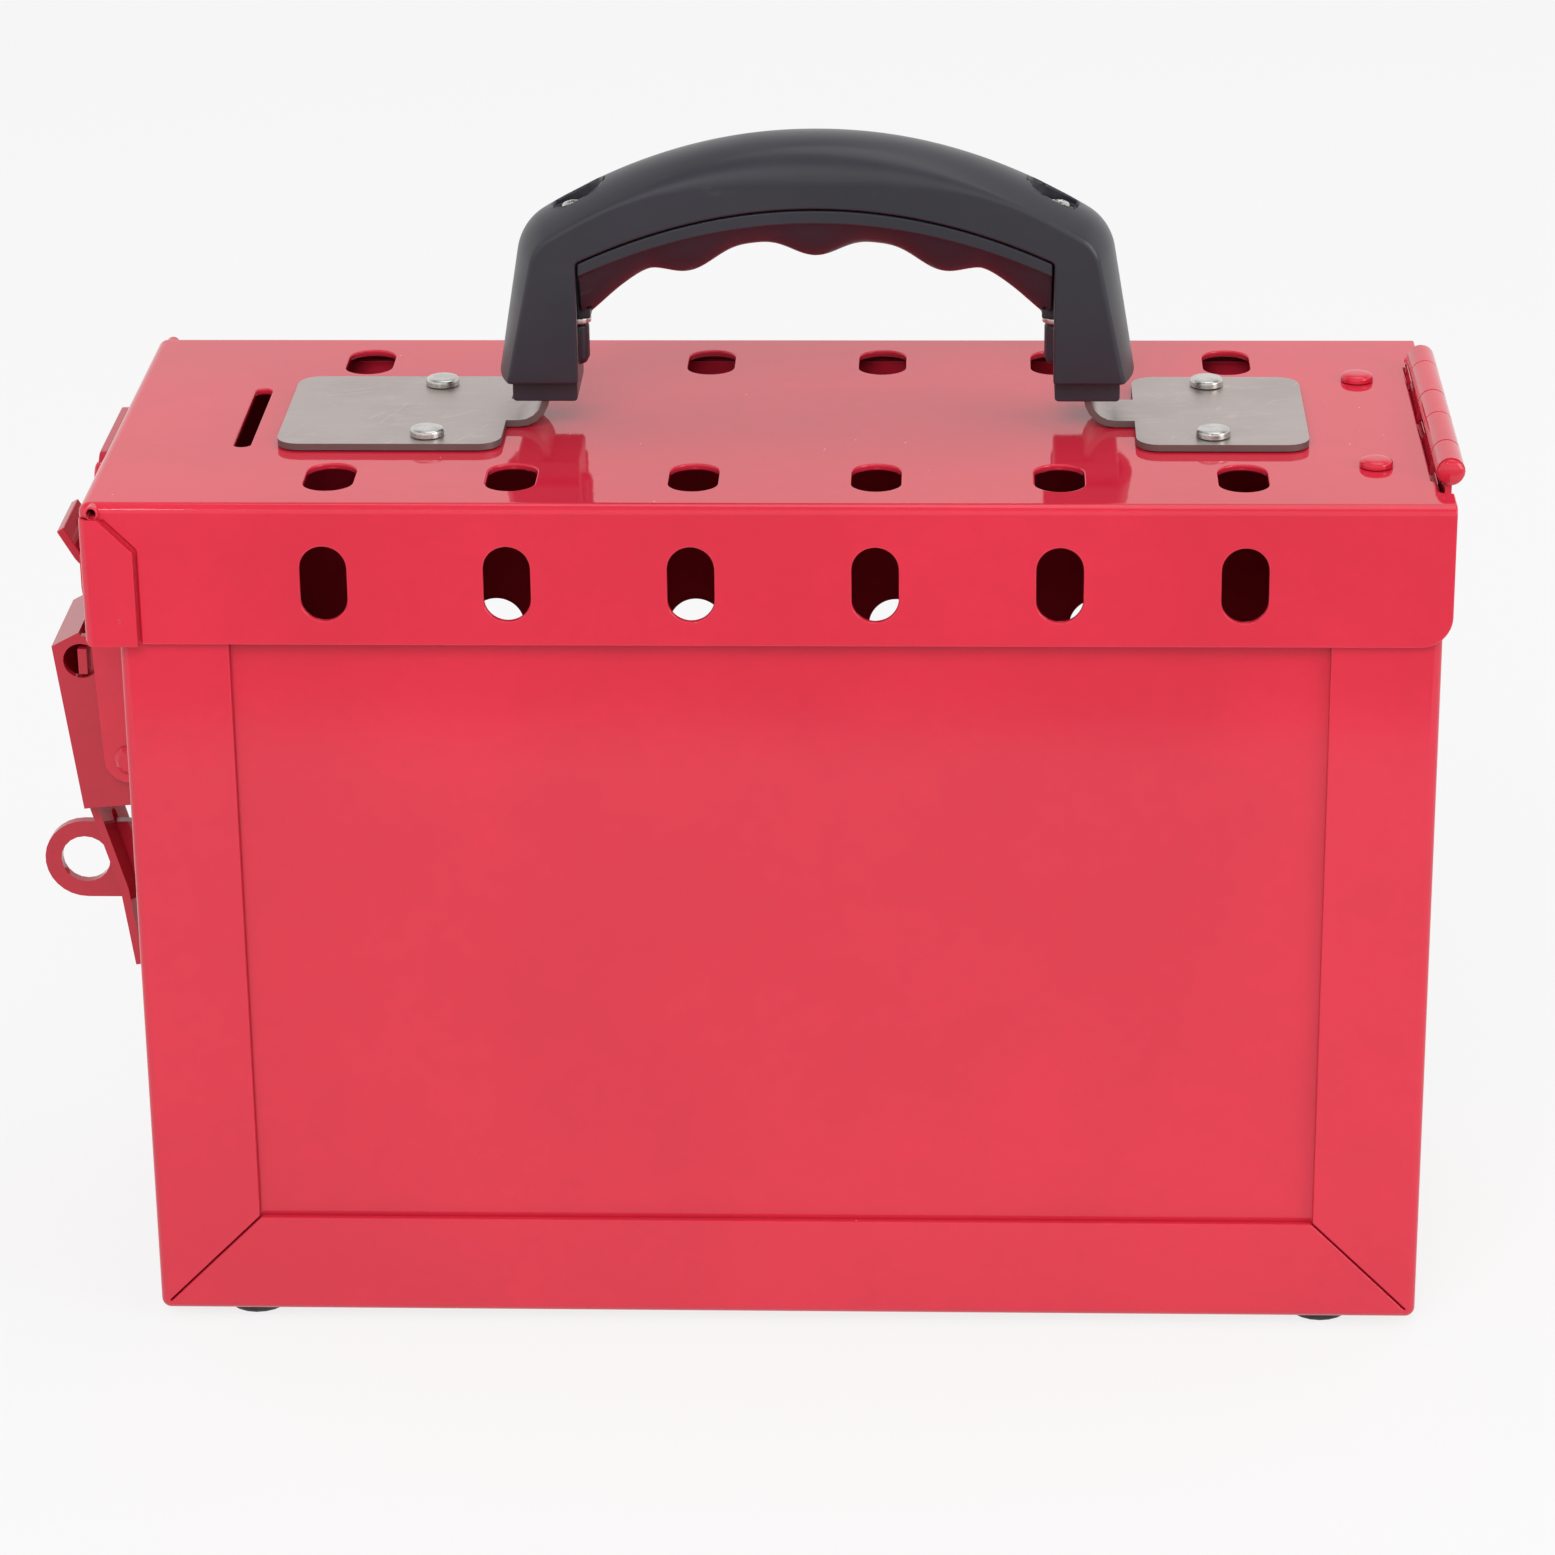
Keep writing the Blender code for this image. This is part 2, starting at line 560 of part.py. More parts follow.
def open_box(name, x0, x1, y_half, z0, z1, missing, bend, steps=3):
    """A sheet box with rounded folds, without the faces that point in the missing directions."""
    shape = bmesh.new()
    bmesh.ops.create_cube(shape, size=1.0)
    bmesh.ops.scale(shape, vec=(x1 - x0, 2 * y_half, z1 - z0), verts=shape.verts)
    bmesh.ops.translate(shape, vec=((x0 + x1) / 2, 0, (z0 + z1) / 2), verts=shape.verts)
    shape.normal_update()
    gone = [face for face in shape.faces if any(face.normal.dot(Vector(side)) > 0.9 for side in missing)]
    bmesh.ops.delete(shape, geom=gone, context="FACES")
    folds = [edge for edge in shape.edges if len(edge.link_faces) == 2]
    bmesh.ops.bevel(shape, geom=folds, offset=bend, segments=steps, profile=0.5, affect="EDGES")
    mesh = bpy.data.meshes.new(name)
    shape.to_mesh(mesh)
    shape.free()
    item = add_mesh(name, mesh)
    wall = item.modifiers.new("sheet", "SOLIDIFY")
    wall.thickness = SHEET
    wall.offset = -1
    wall.use_even_offset = True
    return item


# Case

def build_case_wrap(material):
    """Latch wall, bottom and hinge wall in one strip, with flanges on the front and the back."""
    bottom = TOP_Z - CASE_DROP - CASE_HEIGHT
    top = TOP_Z - CASE_DROP
    wrap = open_box("case_wrap", LATCH_WALL_X, HINGE_WALL_X, CASE_HALF_DEPTH, bottom, top,
                    [(0, 0, 1)], BEND_RADIUS)
    left = LATCH_WALL_X + FLANGE
    right = HINGE_WALL_X - FLANGE
    window = prism("case_window", [rectangle(left, right, bottom + FLANGE, top + OVERRUN)], "XZ",
                   -CASE_HALF_DEPTH - OVERRUN, CASE_HALF_DEPTH + OVERRUN, CUTTERS)
    cut(wrap, window)
    mitres = []
    reach = FLANGE - BEND_RADIUS
    for corner, way in ((left, -1), (right, 1)):
        start = (corner, bottom + FLANGE)
        end = (corner + way * reach, bottom + FLANGE - reach)
        outline = strip([start, end], MITRE_GAP)
        for side in (-1, 1):
            near = side * (CASE_HALF_DEPTH - SHEET - SEAT)
            far = side * (CASE_HALF_DEPTH + OVERRUN)
            mitres.append(prism("mitre", [outline], "XZ", min(near, far), max(near, far), CUTTERS))
    cut(wrap, joined("mitre_cuts", mitres, CUTTERS))
    cut(wrap, joined("case_rivet_holes", latch_wall_holes() + hinge_wall_holes() + foot_holes(), CUTTERS))
    return finish(wrap, material)


def latch_wall_holes():
    axis = (-1, 0, 0)
    places = [(LATCH_WALL_X, 0, TOP_Z - drop) for drop in BASE_RIVET_DROPS]
    places += [(LATCH_WALL_X, side * STAPLE_RIVET_ROW, TOP_Z - STAPLE_DROP) for side in (-1, 1)]
    return [shank_cutter("wall_hole", place, axis, SHEET + OVERRUN) for place in places]


def hinge_wall_holes():
    return [shank_cutter("leaf_hole", (HINGE_WALL_X, y, TOP_Z - HINGE_RIVET_DROP), (1, 0, 0), SHEET + OVERRUN)
            for y in HINGE_RIVET_YS]


def foot_places():
    places = {}
    for x_word, x_sign in (("left", -1), ("right", 1)):
        for y_word, y_sign in (("front", -1), ("back", 1)):
            x = CASE_X + x_sign * (CASE_LENGTH / 2 - FOOT_INSET_X)
            y = y_sign * (CASE_HALF_DEPTH - FOOT_INSET_Y)
            places[y_word + "_" + x_word] = (x, y)
    return places


def foot_holes():
    radius = FOOT_SCREW_SHANK + SHANK_CLEARANCE
    profile = [(0, OVERRUN), (radius, OVERRUN), (radius, -OVERRUN), (0, -OVERRUN)]
    return [turned("foot_hole", profile, (x, y, FOOT_HEIGHT), (0, 0, 1), CUTTERS)
            for x, y in foot_places().values()]


def panel_outline():
    bottom = FOOT_HEIGHT + SHEET + SEAT
    return rectangle(LATCH_WALL_X + SHEET + SEAT, HINGE_WALL_X - SHEET - SEAT, bottom, TOP_Z - CASE_DROP)


def panel_slots():
    width = SKIRT_SLOT_WIDTH + 2 * PANEL_SLOT_MARGIN
    height = SKIRT_SLOT_LENGTH + 2 * (PANEL_SLOT_MARGIN + PANEL_SLOT_EXTRA)
    return [obround(x, TOP_Z - SKIRT_SLOT_DROP, width, height) for x in HOLE_XS]


def build_panels(material):
    """Flat panels spot welded behind the flanges, with the second half of each shackle way."""
    inner = PANEL_OUTER_Y - SHEET
    front = prism("front_panel", [panel_outline()] + panel_slots(), "XZ", -PANEL_OUTER_Y, -inner)
    holes = [circle(x, TOP_Z - BACK_HOLE_DROP, BACK_HOLE_RADIUS) for x in BACK_HOLE_XS]
    back = prism("back_panel", [panel_outline()] + panel_slots() + holes, "XZ", inner, PANEL_OUTER_Y)
    return [finish(front, material), finish(back, material)]


def build_feet(rubber, steel):
    recess = FOOT_RECESS_DEPTH
    top = FOOT_HEIGHT - SEAT
    hole = FOOT_SCREW_SHANK + SHANK_CLEARANCE
    for name, (x, y) in foot_places().items():
        profile = [(hole, top), (FOOT_RADIUS, top), (FOOT_RADIUS, FOOT_TAPER),
                   (FOOT_RADIUS - FOOT_TAPER, 0), (FOOT_RECESS_RADIUS, 0),
                   (FOOT_RECESS_RADIUS, recess), (hole, recess), (hole, top)]
        foot = turned("foot_" + name, profile, (x, y, 0), (0, 0, 1))
        finish(foot, rubber)
    head_top = recess - SEAT
    head_bottom = head_top - FOOT_SCREW_HEAD_HEIGHT
    shank_top = FOOT_HEIGHT + SHEET + FOOT_SCREW_TAIL
    profile = [(0, shank_top), (FOOT_SCREW_SHANK, shank_top), (FOOT_SCREW_SHANK, head_top),
               (FOOT_SCREW_HEAD, head_top), (FOOT_SCREW_HEAD, head_bottom + FOOT_SCREW_HEAD_HEIGHT / 2),
               (FOOT_SCREW_HEAD / 2, head_bottom), (0, head_bottom)]
    rivets({"foot_screw_" + name: (x, y, 0) for name, (x, y) in foot_places().items()}, (0, 0, 1), profile, steel)


# Lid

def lid_top_cutter():
    top = TOP_Z + OVERRUN
    bottom = TOP_Z - SHEET - OVERRUN
    holes = []
    for x in HOLE_XS:
        for side in (-1, 1):
            holes.append(obround(x, side * TOP_HOLE_ROW, TOP_HOLE_WIDTH, TOP_HOLE_LENGTH))
    holes.append(obround(LID_LATCH_X + KEY_SLOT_END, 0, KEY_SLOT_WIDTH, KEY_SLOT_LENGTH))
    return joined("top_holes", [prism("top_hole", [hole], "XY", bottom, top, CUTTERS) for hole in holes], CUTTERS)


def lid_skirt_cutter():
    outer = LID_DEPTH / 2 + OVERRUN
    return joined("skirt_slots", [
        prism("skirt_slot", [obround(x, TOP_Z - SKIRT_SLOT_DROP, SKIRT_SLOT_WIDTH, SKIRT_SLOT_LENGTH)],
              "XZ", -outer, outer, CUTTERS) for x in HOLE_XS], CUTTERS)


def lid_notch_cutter():
    """Notch for the hinge barrel, with a narrower relief past each of its ends."""
    notch = BARREL_X - BARREL_RADIUS - NOTCH_GAP
    relief = LID_HINGE_X - NOTCH_RELIEF_WIDTH
    far = LID_HINGE_X + OVERRUN
    end = NOTCH_HALF_LENGTH + NOTCH_RELIEF_LENGTH
    lower = [(notch, HINGE_Y - NOTCH_HALF_LENGTH), (relief, HINGE_Y - NOTCH_HALF_LENGTH)]
    lower += arc(relief + NOTCH_ROUND, HINGE_Y + NOTCH_ROUND - end, NOTCH_ROUND, pi, 3 * pi / 2)
    lower += [(far, HINGE_Y - end)]
    upper = [(x, 2 * HINGE_Y - y) for x, y in reversed(lower)]
    return prism("hinge_notch", [lower + upper], "XY", TOP_Z - SHEET - BEND_RADIUS, TOP_Z + OVERRUN, CUTTERS)


def skirt_corner_cutter():
    """What is outside the rounded lower corner at the hinge end of both skirts."""
    bottom = TOP_Z - LID_SKIRT
    right = LID_HINGE_X
    outline = arc(right - SKIRT_CORNER, bottom + SKIRT_CORNER, SKIRT_CORNER, -pi / 2, 0)
    outline += [(right + OVERRUN, bottom + SKIRT_CORNER), (right + OVERRUN, bottom - OVERRUN),
                (right - SKIRT_CORNER, bottom - OVERRUN)]
    outer = LID_DEPTH / 2 + OVERRUN
    return prism("skirt_corner", [outline], "XZ", -outer, outer, CUTTERS)


def end_tab(side):
    """Tab of the latch end wall, folded round on to a skirt."""
    left = LID_LATCH_X
    right = left + TAB_WIDTH
    top = TOP_Z - TAB_DROP
    bottom = TOP_Z - LID_SKIRT
    outline = [(left, bottom), (right, bottom), (right, top - TAB_CHAMFER_DROP),
               (right - TAB_CHAMFER_WIDTH, top), (left, top)]
    inner = LID_DEPTH / 2 - TAB_INSET
    outer = LID_DEPTH / 2 + TAB_STEP
    low, high = sorted((side * inner, side * outer))
    tab = prism("end_tab", [outline], "XZ", low, high, CUTTERS)

    def on_bend(a, b):
        return (abs(a.x - left) < WELD and abs(b.x - left) < WELD
                and abs(a.y - side * outer) < WELD and abs(b.y - side * outer) < WELD)
    return round_edges(tab, on_bend, TAB_BEND)


def lid_rivet_cutters():
    cutters = []
    for place in handle_rivet_places(TOP_Z).values():
        cutters.append(shank_cutter("lid_hole", place, (0, 0, 1), SHEET + OVERRUN))
    for y in HINGE_RIVET_YS:
        place = (LID_HINGE_X - HINGE_RIVET_INSET, y, TOP_Z)
        cutters.append(shank_cutter("lid_hole", place, (0, 0, 1), SHEET + OVERRUN))
    for side in (-1, 1):
        place = (LID_LATCH_X, side * CATCH_RIVET_ROW, TOP_Z - CATCH_RIVET_DROP)
        cutters.append(shank_cutter("lid_hole", place, (-1, 0, 0), SHEET + BEND_RADIUS))
    return joined("lid_rivet_holes", cutters, CUTTERS)


def build_lid_shell(material):
    shell = open_box("lid_shell", LID_LATCH_X, LID_HINGE_X, LID_DEPTH / 2, TOP_Z - LID_SKIRT, TOP_Z,
                     [(0, 0, -1), (1, 0, 0)], BEND_RADIUS)
    fuse(shell, end_tab(-1), end_tab(1))
    cut(shell, lid_top_cutter(), lid_skirt_cutter(), lid_notch_cutter(), skirt_corner_cutter(),
        lid_rivet_cutters())
    return finish(shell, material)


# Hinge

def knuckle_spans():
    """The stretch of the barrel, along Y, that each knuckle takes."""
    spans = []
    start = HINGE_Y - BARREL_HALF_LENGTH
    for share in KNUCKLE_SHARES:
        end = start + 2 * BARREL_HALF_LENGTH * share
        spans.append((start + KNUCKLE_GAP / 2, end - KNUCKLE_GAP / 2))
        start = end
    return spans


def knuckle(neck, span):
    """A rolled knuckle with its neck, and the bore for the pin."""
    ring = circle(BARREL_X, BARREL_Z, BARREL_RADIUS)
    bore = circle(BARREL_X, BARREL_Z, PIN_RADIUS + PIN_CLEARANCE)
    body = prism("knuckle", [ring], "XZ", *span, CUTTERS)
    arm = prism("neck", [neck], "XZ", *span, CUTTERS)
    hole = prism("bore", [bore], "XZ", span[0] - OVERRUN, span[1] + OVERRUN, CUTTERS)
    return cut(fuse(body, arm), hole)


def build_case_leaf(material):
    """Leaf on the outside of the hinge wall, with the first, third and last knuckle."""
    inner = HINGE_WALL_X + SEAT
    outer = inner + SHEET
    top = TOP_Z - CASE_DROP - SEAT
    plate = prism("hinge_leaf_case", [rectangle(*LEAF_YS, top - LEAF_WIDTH, top)], "YZ", inner, outer)
    neck = rectangle(inner, outer, top - SHEET, BARREL_Z - PIN_RADIUS - PIN_CLEARANCE)
    spans = knuckle_spans()
    arms = [knuckle(neck, spans[i]) for i in (0, 2, 4)]
    fuse(plate, joined("case_knuckles", arms, CUTTERS))
    holes = [shank_cutter("leaf_hole", (outer, y, TOP_Z - HINGE_RIVET_DROP), (1, 0, 0), SHEET + OVERRUN)
             for y in HINGE_RIVET_YS]
    cut(plate, joined("case_leaf_holes", holes, CUTTERS))
    return finish(plate, material)


def build_lid_leaf(material):
    """Leaf under the lid's top, with the second and fourth knuckle."""
    top = TOP_Z - SHEET - SEAT
    bottom = top - SHEET
    right = BARREL_X - BARREL_RADIUS - LEAF_GAP
    left = right - LEAF_WIDTH
    plate = prism("hinge_leaf_lid", [rectangle(left, right, *LEAF_YS)], "XY", bottom, top)
    inner = PIN_RADIUS + PIN_CLEARANCE
    neck = [(right - SHEET, top), (right - SHEET, bottom), (BARREL_X - BARREL_RADIUS, bottom),
            (BARREL_X - inner / 2, BARREL_Z - BARREL_RADIUS + SEAT), (BARREL_X - inner, BARREL_Z - inner),
            (BARREL_X - BARREL_RADIUS + SEAT, BARREL_Z - SHEET / 2), (BARREL_X - BARREL_RADIUS - SEAT, top)]
    spans = knuckle_spans()
    arms = [knuckle(neck, spans[i]) for i in (1, 3)]
    fuse(plate, joined("lid_knuckles", arms, CUTTERS))
    holes = [shank_cutter("leaf_hole", (LID_HINGE_X - HINGE_RIVET_INSET, y, TOP_Z), (0, 0, 1), 2 * SHEET + OVERRUN)
             for y in HINGE_RIVET_YS]
    cut(plate, joined("lid_leaf_holes", holes, CUTTERS))
    return finish(plate, material)


def build_hinge_pin(material):
    head = BARREL_HALF_LENGTH + SEAT
    tip = head + PIN_HEAD_HEIGHT
    near, far = PIN_DOME_SHARES
    dome = [(0, tip), (PIN_HEAD_RADIUS * near, head + PIN_HEAD_HEIGHT * far),
            (PIN_HEAD_RADIUS * far, head + PIN_HEAD_HEIGHT * near), (PIN_HEAD_RADIUS, head)]
    half = dome + [(PIN_RADIUS, head)]
    profile = half + [(radius, -height) for radius, height in reversed(half)]
    pin = turned("hinge_pin", profile, (BARREL_X, HINGE_Y, BARREL_Z), (0, 1, 0))
    return finish(pin, material)


def build_hinge_rivets(material):
    profile = rivet_profile(HINGE_RIVET_HEAD, HINGE_RIVET_HEIGHT, 2 * SHEET + 3 * SEAT, HINGE_RIVET_FLAT_SHARE)
    front, back = HINGE_RIVET_YS
    x, z = LID_HINGE_X - HINGE_RIVET_INSET, TOP_Z + SEAT
    rivets({"hinge_rivet_lid_front": (x, front, z), "hinge_rivet_lid_back": (x, back, z)}, (0, 0, 1), profile,
           material)
    x, z = HINGE_WALL_X + SHEET + 2 * SEAT, TOP_Z - HINGE_RIVET_DROP
    rivets({"hinge_rivet_case_front": (x, front, z), "hinge_rivet_case_back": (x, back, z)}, (1, 0, 0), profile,
           material)


def front_and_back(name, x, row, z):
    return {name + "_front": (x, -row, z), name + "_back": (x, row, z)}


# Handle

def handle_rivet_places(z):
    left = front_and_back("handle_rivet_left", PLATE_LEFT_IN_X - HANDLE_RIVET_LEFT, HANDLE_RIVET_ROW, z)
    right = front_and_back("handle_rivet_right", PLATE_RIGHT_IN_X + HANDLE_RIVET_RIGHT, HANDLE_RIVET_ROW, z)
    return {**left, **right}


def build_bracket(name, way, length, under, rivet, material):
    """A steel plate whose neck bends up into a leg of the handle."""
    low = TOP_Z + SEAT
    high = low + BRACKET_SHEET
    inside = HANDLE_HALF_SPAN
    x0, x1 = sorted((HANDLE_X + way * (inside + length), HANDLE_X + way * (inside - under)))
    plate = prism(name, [rounded_rectangle(x0, x1, -BRACKET_HALF_DEPTH, BRACKET_HALF_DEPTH, BRACKET_CORNER)],
                  "XY", low, high)
    middle = low + BRACKET_SHEET / 2
    strap_x = BRACKET_STRAP_OFFSET
    bend_x = strap_x + BRACKET_BEND
    run = [(inside + BRACKET_CORNER, middle)]
    run += [(bend_x - BRACKET_BEND * sin(a), middle + BRACKET_BEND * (1 - cos(a)))
            for a in [pi / 2 * i / ARC_STEPS for i in range(ARC_STEPS + 1)]]
    shoulder = [(HANDLE_X + way * x, z) for x, z in run]
    neck = prism("neck", [strip(shoulder, BRACKET_SHEET)], "XZ", -BRACKET_NECK / 2, BRACKET_NECK / 2, CUTTERS)
    strap_low = middle + BRACKET_BEND - SEAT
    half = BRACKET_SHEET / 2
    strap = prism("strap", [rectangle(HANDLE_X + way * strap_x - half, HANDLE_X + way * strap_x + half,
                                      strap_low, TOP_Z + BRACKET_STRAP_TOP)], "XZ",
                  -BRACKET_STRAP_WIDTH / 2, BRACKET_STRAP_WIDTH / 2, CUTTERS)
    fuse(plate, neck, strap)
    holes = [shank_cutter("bracket_hole", (HANDLE_X + way * (inside + rivet), side * HANDLE_RIVET_ROW, high),
                          (0, 0, 1), BRACKET_SHEET + OVERRUN) for side in (-1, 1)]
    cut(plate, joined(name + "_holes", holes, CUTTERS))
    return finish(plate, material)


def build_handle_rivets(material):
    base = TOP_Z + 2 * SEAT + BRACKET_SHEET
    profile = rivet_profile(HANDLE_RIVET_HEAD, HANDLE_RIVET_HEIGHT, BRACKET_SHEET + SHEET + 3 * SEAT,
                            HANDLE_RIVET_FLAT_SHARE)
    rivets(handle_rivet_places(base), (0, 0, 1), profile, material)


def mirrored(points):
    """A left half line, from the foot to the middle, with its mirror about the handle."""
    return points + [(2 * HANDLE_X - x, z) for x, z in reversed(points[:-1])]


def shoulder_arc():
    """Centre of the shoulder's arc from the handle's middle, and the angle that it starts at."""
    foot = Vector((HANDLE_HALF_SPAN, HANDLE_FOOT_Z))
    shoulder = Vector((HANDLE_SHOULDER_SPAN, HANDLE_SHOULDER_Z))
    along = (shoulder - foot).normalized()
    centre = shoulder + Vector((-along.y, along.x)) * HANDLE_SHOULDER_RADIUS
    return centre, atan2(-along.x, along.y)


def shell_top(x):
    """Height of the shell's back at a distance from the handle's middle."""
    centre, _ = shoulder_arc()
    end_x = centre.x + HANDLE_SHOULDER_RADIUS * cos(SHOULDER_END)
    end_z = centre.y + HANDLE_SHOULDER_RADIUS * sin(SHOULDER_END)
    return TOP_Z + HANDLE_TOP - (HANDLE_TOP - end_z) * (x / end_x) ** HANDLE_ARCH_POWER


def shell_under(x):
    share = (x / HANDLE_LEG_IN) ** 2
    return TOP_Z + HANDLE_UNDER_TOP - (HANDLE_UNDER_TOP - HANDLE_UNDER_END) * share


def shell_outer_points():
    """The left half of the shell's outer line, from its foot to the middle."""
    points = [(HANDLE_X - HANDLE_HALF_SPAN, TOP_Z + HANDLE_FOOT_Z)]
    centre, start = shoulder_arc()
    curve = arc(centre.x, centre.y, HANDLE_SHOULDER_RADIUS, start, SHOULDER_END)
    points += [(HANDLE_X - x, TOP_Z + z) for x, z in curve]
    end_x = curve[-1][0]
    points += [(HANDLE_X - x, shell_top(x)) for x in [end_x * (1 - i / ARCH_STEPS) for i in range(1, ARCH_STEPS + 1)]]
    return points


def inset_line(points, distances):
    """The line with each of its points moved to its right by its own distance."""
    moved = []
    for i, (point, distance) in enumerate(zip(points, distances)):
        before = Vector(points[max(i - 1, 0)])
        after = Vector(points[min(i + 1, len(points) - 1)])
        along = (after - before).normalized()
        moved.append((point[0] + along.y * distance, point[1] - along.x * distance))
    return moved


def shell_inner_points():
    leg = HANDLE_LEG_IN
    points = [(HANDLE_X - leg, TOP_Z + HANDLE_FOOT_Z)]
    for i in range(ARCH_STEPS + 1):
        x = leg * (1 - i / ARCH_STEPS)
        points.append((HANDLE_X - x, shell_under(x)))
    return points


def arch(name, wall, below, inner, half, collection=None):
    """An arch whose back is domed across, the wall inside the shell's outer line and so far below its feet."""
    crown = mirrored(shell_outer_points())
    foot = TOP_Z + HANDLE_FOOT_Z
    shape = bmesh.new()
    rows = []
    for share in DOME_SHARES:
        depths = [HANDLE_DOME] * len(crown)
        depths[0] = depths[-1] = HANDLE_DOME_FOOT
        row = inset_line(crown, [wall + depth * share ** 2 for depth in depths])
        row[0] = (row[0][0], foot)
        row[-1] = (row[-1][0], foot)
        if below:
            row = [(row[0][0], foot - below)] + row + [(row[-1][0], foot - below)]
        rows.append([shape.verts.new((x, half * share, z)) for x, z in row])
    under = [[shape.verts.new((x, y, z)) for x, z in inner] for y in (-half, half)]
    for first, second in list(zip(rows, rows[1:])) + [(under[1], under[0])]:
        for i in range(len(first) - 1):
            shape.faces.new((first[i], first[i + 1], second[i + 1], second[i]))
    shape.faces.new(rows[0] + under[0][::-1])
    shape.faces.new(rows[-1][::-1] + under[1])
    for end in (0, -1):
        shape.faces.new([row[end] for row in rows] + [under[1][end], under[0][end]])
    bmesh.ops.recalc_face_normals(shape, faces=shape.faces)
    bmesh.ops.triangulate(shape, faces=shape.faces)
    mesh = bpy.data.meshes.new(name)
    shape.to_mesh(mesh)
    shape.free()
    return add_mesh(name, mesh, collection)


def build_handle_shell(material):
    """The handle's moulded back: an arch with legs, hollow and open underneath."""
    shell = arch("handle_shell", 0, 0, mirrored(shell_inner_points()), HANDLE_HALF_WIDTH)
    leg = HANDLE_LEG_IN - OVERRUN
    low = TOP_Z + HANDLE_FOOT_Z - OVERRUN
    cavity = mirrored([(HANDLE_X - leg, low), (HANDLE_X - leg, shell_under(leg) - OVERRUN),
                       (HANDLE_X, shell_under(0) - OVERRUN)])
    hollow = arch("shell_hollow", HANDLE_WALL, OVERRUN, cavity, HANDLE_HALF_WIDTH - HANDLE_WALL, CUTTERS)
    bosses = []
    ways = []
    top = HANDLE_TOP + OVERRUN
    for side in (-1, 1):
        place = (HANDLE_X + side * SCREW_OFFSET, 0, TOP_Z)
        bosses.append(turned("boss", [(0, top), (BOSS_RADIUS, top), (BOSS_RADIUS, BOSS_BOTTOM_Z),
                                      (0, BOSS_BOTTOM_Z)], place, (0, 0, 1), CUTTERS))
        wide = SCREW_HEAD_RADIUS + COUNTERBORE_CLEARANCE
        narrow = SCREW_SHANK_RADIUS + SHANK_CLEARANCE
        bottom = BOSS_BOTTOM_Z - OVERRUN
        seat = SCREW_SEAT_Z - SEAT
        ways.append(turned("screw_way", [(0, top), (wide, top), (wide, seat), (narrow, seat), (narrow, bottom),
                                         (0, bottom)], place, (0, 0, 1), CUTTERS))
    cut(hollow, joined("screw_bosses", bosses, CUTTERS))
    cut(shell, hollow, joined("screw_ways", ways, CUTTERS))
    return finish(shell, material)


def grip_bottom(x):
    """Underside of the grip: finger waves that deepen towards the legs."""
    distance = abs(x)
    share = max(distance - GRIP_WAVE_END, 0) / (HANDLE_LEG_IN - GRIP_WAVE_END)
    wave = GRIP_WAVE * cos(2 * pi * distance / GRIP_WAVE_PITCH) * (1 - share)
    return shell_under(x) - GRIP_DEPTH - wave - GRIP_END_GROWTH * share


def build_handle_grip(material):
    """The lower half of the handle, with its finger waves, screwed up into the shell."""
    end = GRIP_END_OFFSET
    leg = HANDLE_LEG_IN - SEAT
    bottom = [(HANDLE_X + x, grip_bottom(x))
              for x in [-leg + 2 * leg * i / WAVE_STEPS for i in range(WAVE_STEPS + 1)]]
    low = TOP_Z + GRIP_END_Z
    top = []
    for i in range(ARCH_STEPS * 2 + 1):
        x = leg - 2 * leg * i / (ARCH_STEPS * 2)
        top.append((HANDLE_X + x, shell_under(x) + GRIP_INSIDE))
    high = TOP_Z + GRIP_END_TOP_Z
    top_start = leg - SCREW_SHANK_RADIUS
    outline = [(HANDLE_X - end, low)] + bottom + [(HANDLE_X + end, low), (HANDLE_X + end, high)]
    outline += [point for point in top if abs(point[0] - HANDLE_X) < top_start]
    outline += [(HANDLE_X - end, high)]
    grip = prism("handle_grip", [outline], "XZ", -GRIP_HALF_WIDTH, GRIP_HALF_WIDTH)

    def under(a, b):
        on_side = abs(abs(a.y) - GRIP_HALF_WIDTH) < WELD and abs(a.y - b.y) < WELD
        x = (a.x + b.x) / 2 - HANDLE_X
        return on_side and abs(x) < leg and (a.z + b.z) / 2 < shell_under(x) - GRIP_BAND
    round_edges(grip, under, GRIP_ROUND, 2)
    band_top = [(HANDLE_X + x, shell_under(x) - SEAT)
                for x in [leg - 2 * leg * i / (ARCH_STEPS * 2) for i in range(ARCH_STEPS * 2 + 1)]]
    band_low = [(x, z - GRIP_BAND + SEAT) for x, z in reversed(band_top)]
    band = prism("grip_band", [band_low + band_top], "XZ", -GRIP_BAND_HALF_WIDTH, GRIP_BAND_HALF_WIDTH, CUTTERS)
    fuse(grip, band)
    holes = []
    radius = SCREW_SHANK_RADIUS + SHANK_CLEARANCE
    for side in (-1, 1):
        x = HANDLE_X + side * SCREW_OFFSET
        holes.append(turned("grip_hole", [(0, HANDLE_TOP), (radius, HANDLE_TOP), (radius, HANDLE_FOOT_Z),
                                          (0, HANDLE_FOOT_Z)], (x, 0, TOP_Z), (0, 0, 1), CUTTERS))
    cut(grip, joined("grip_holes", holes, CUTTERS))
    return finish(grip, material)


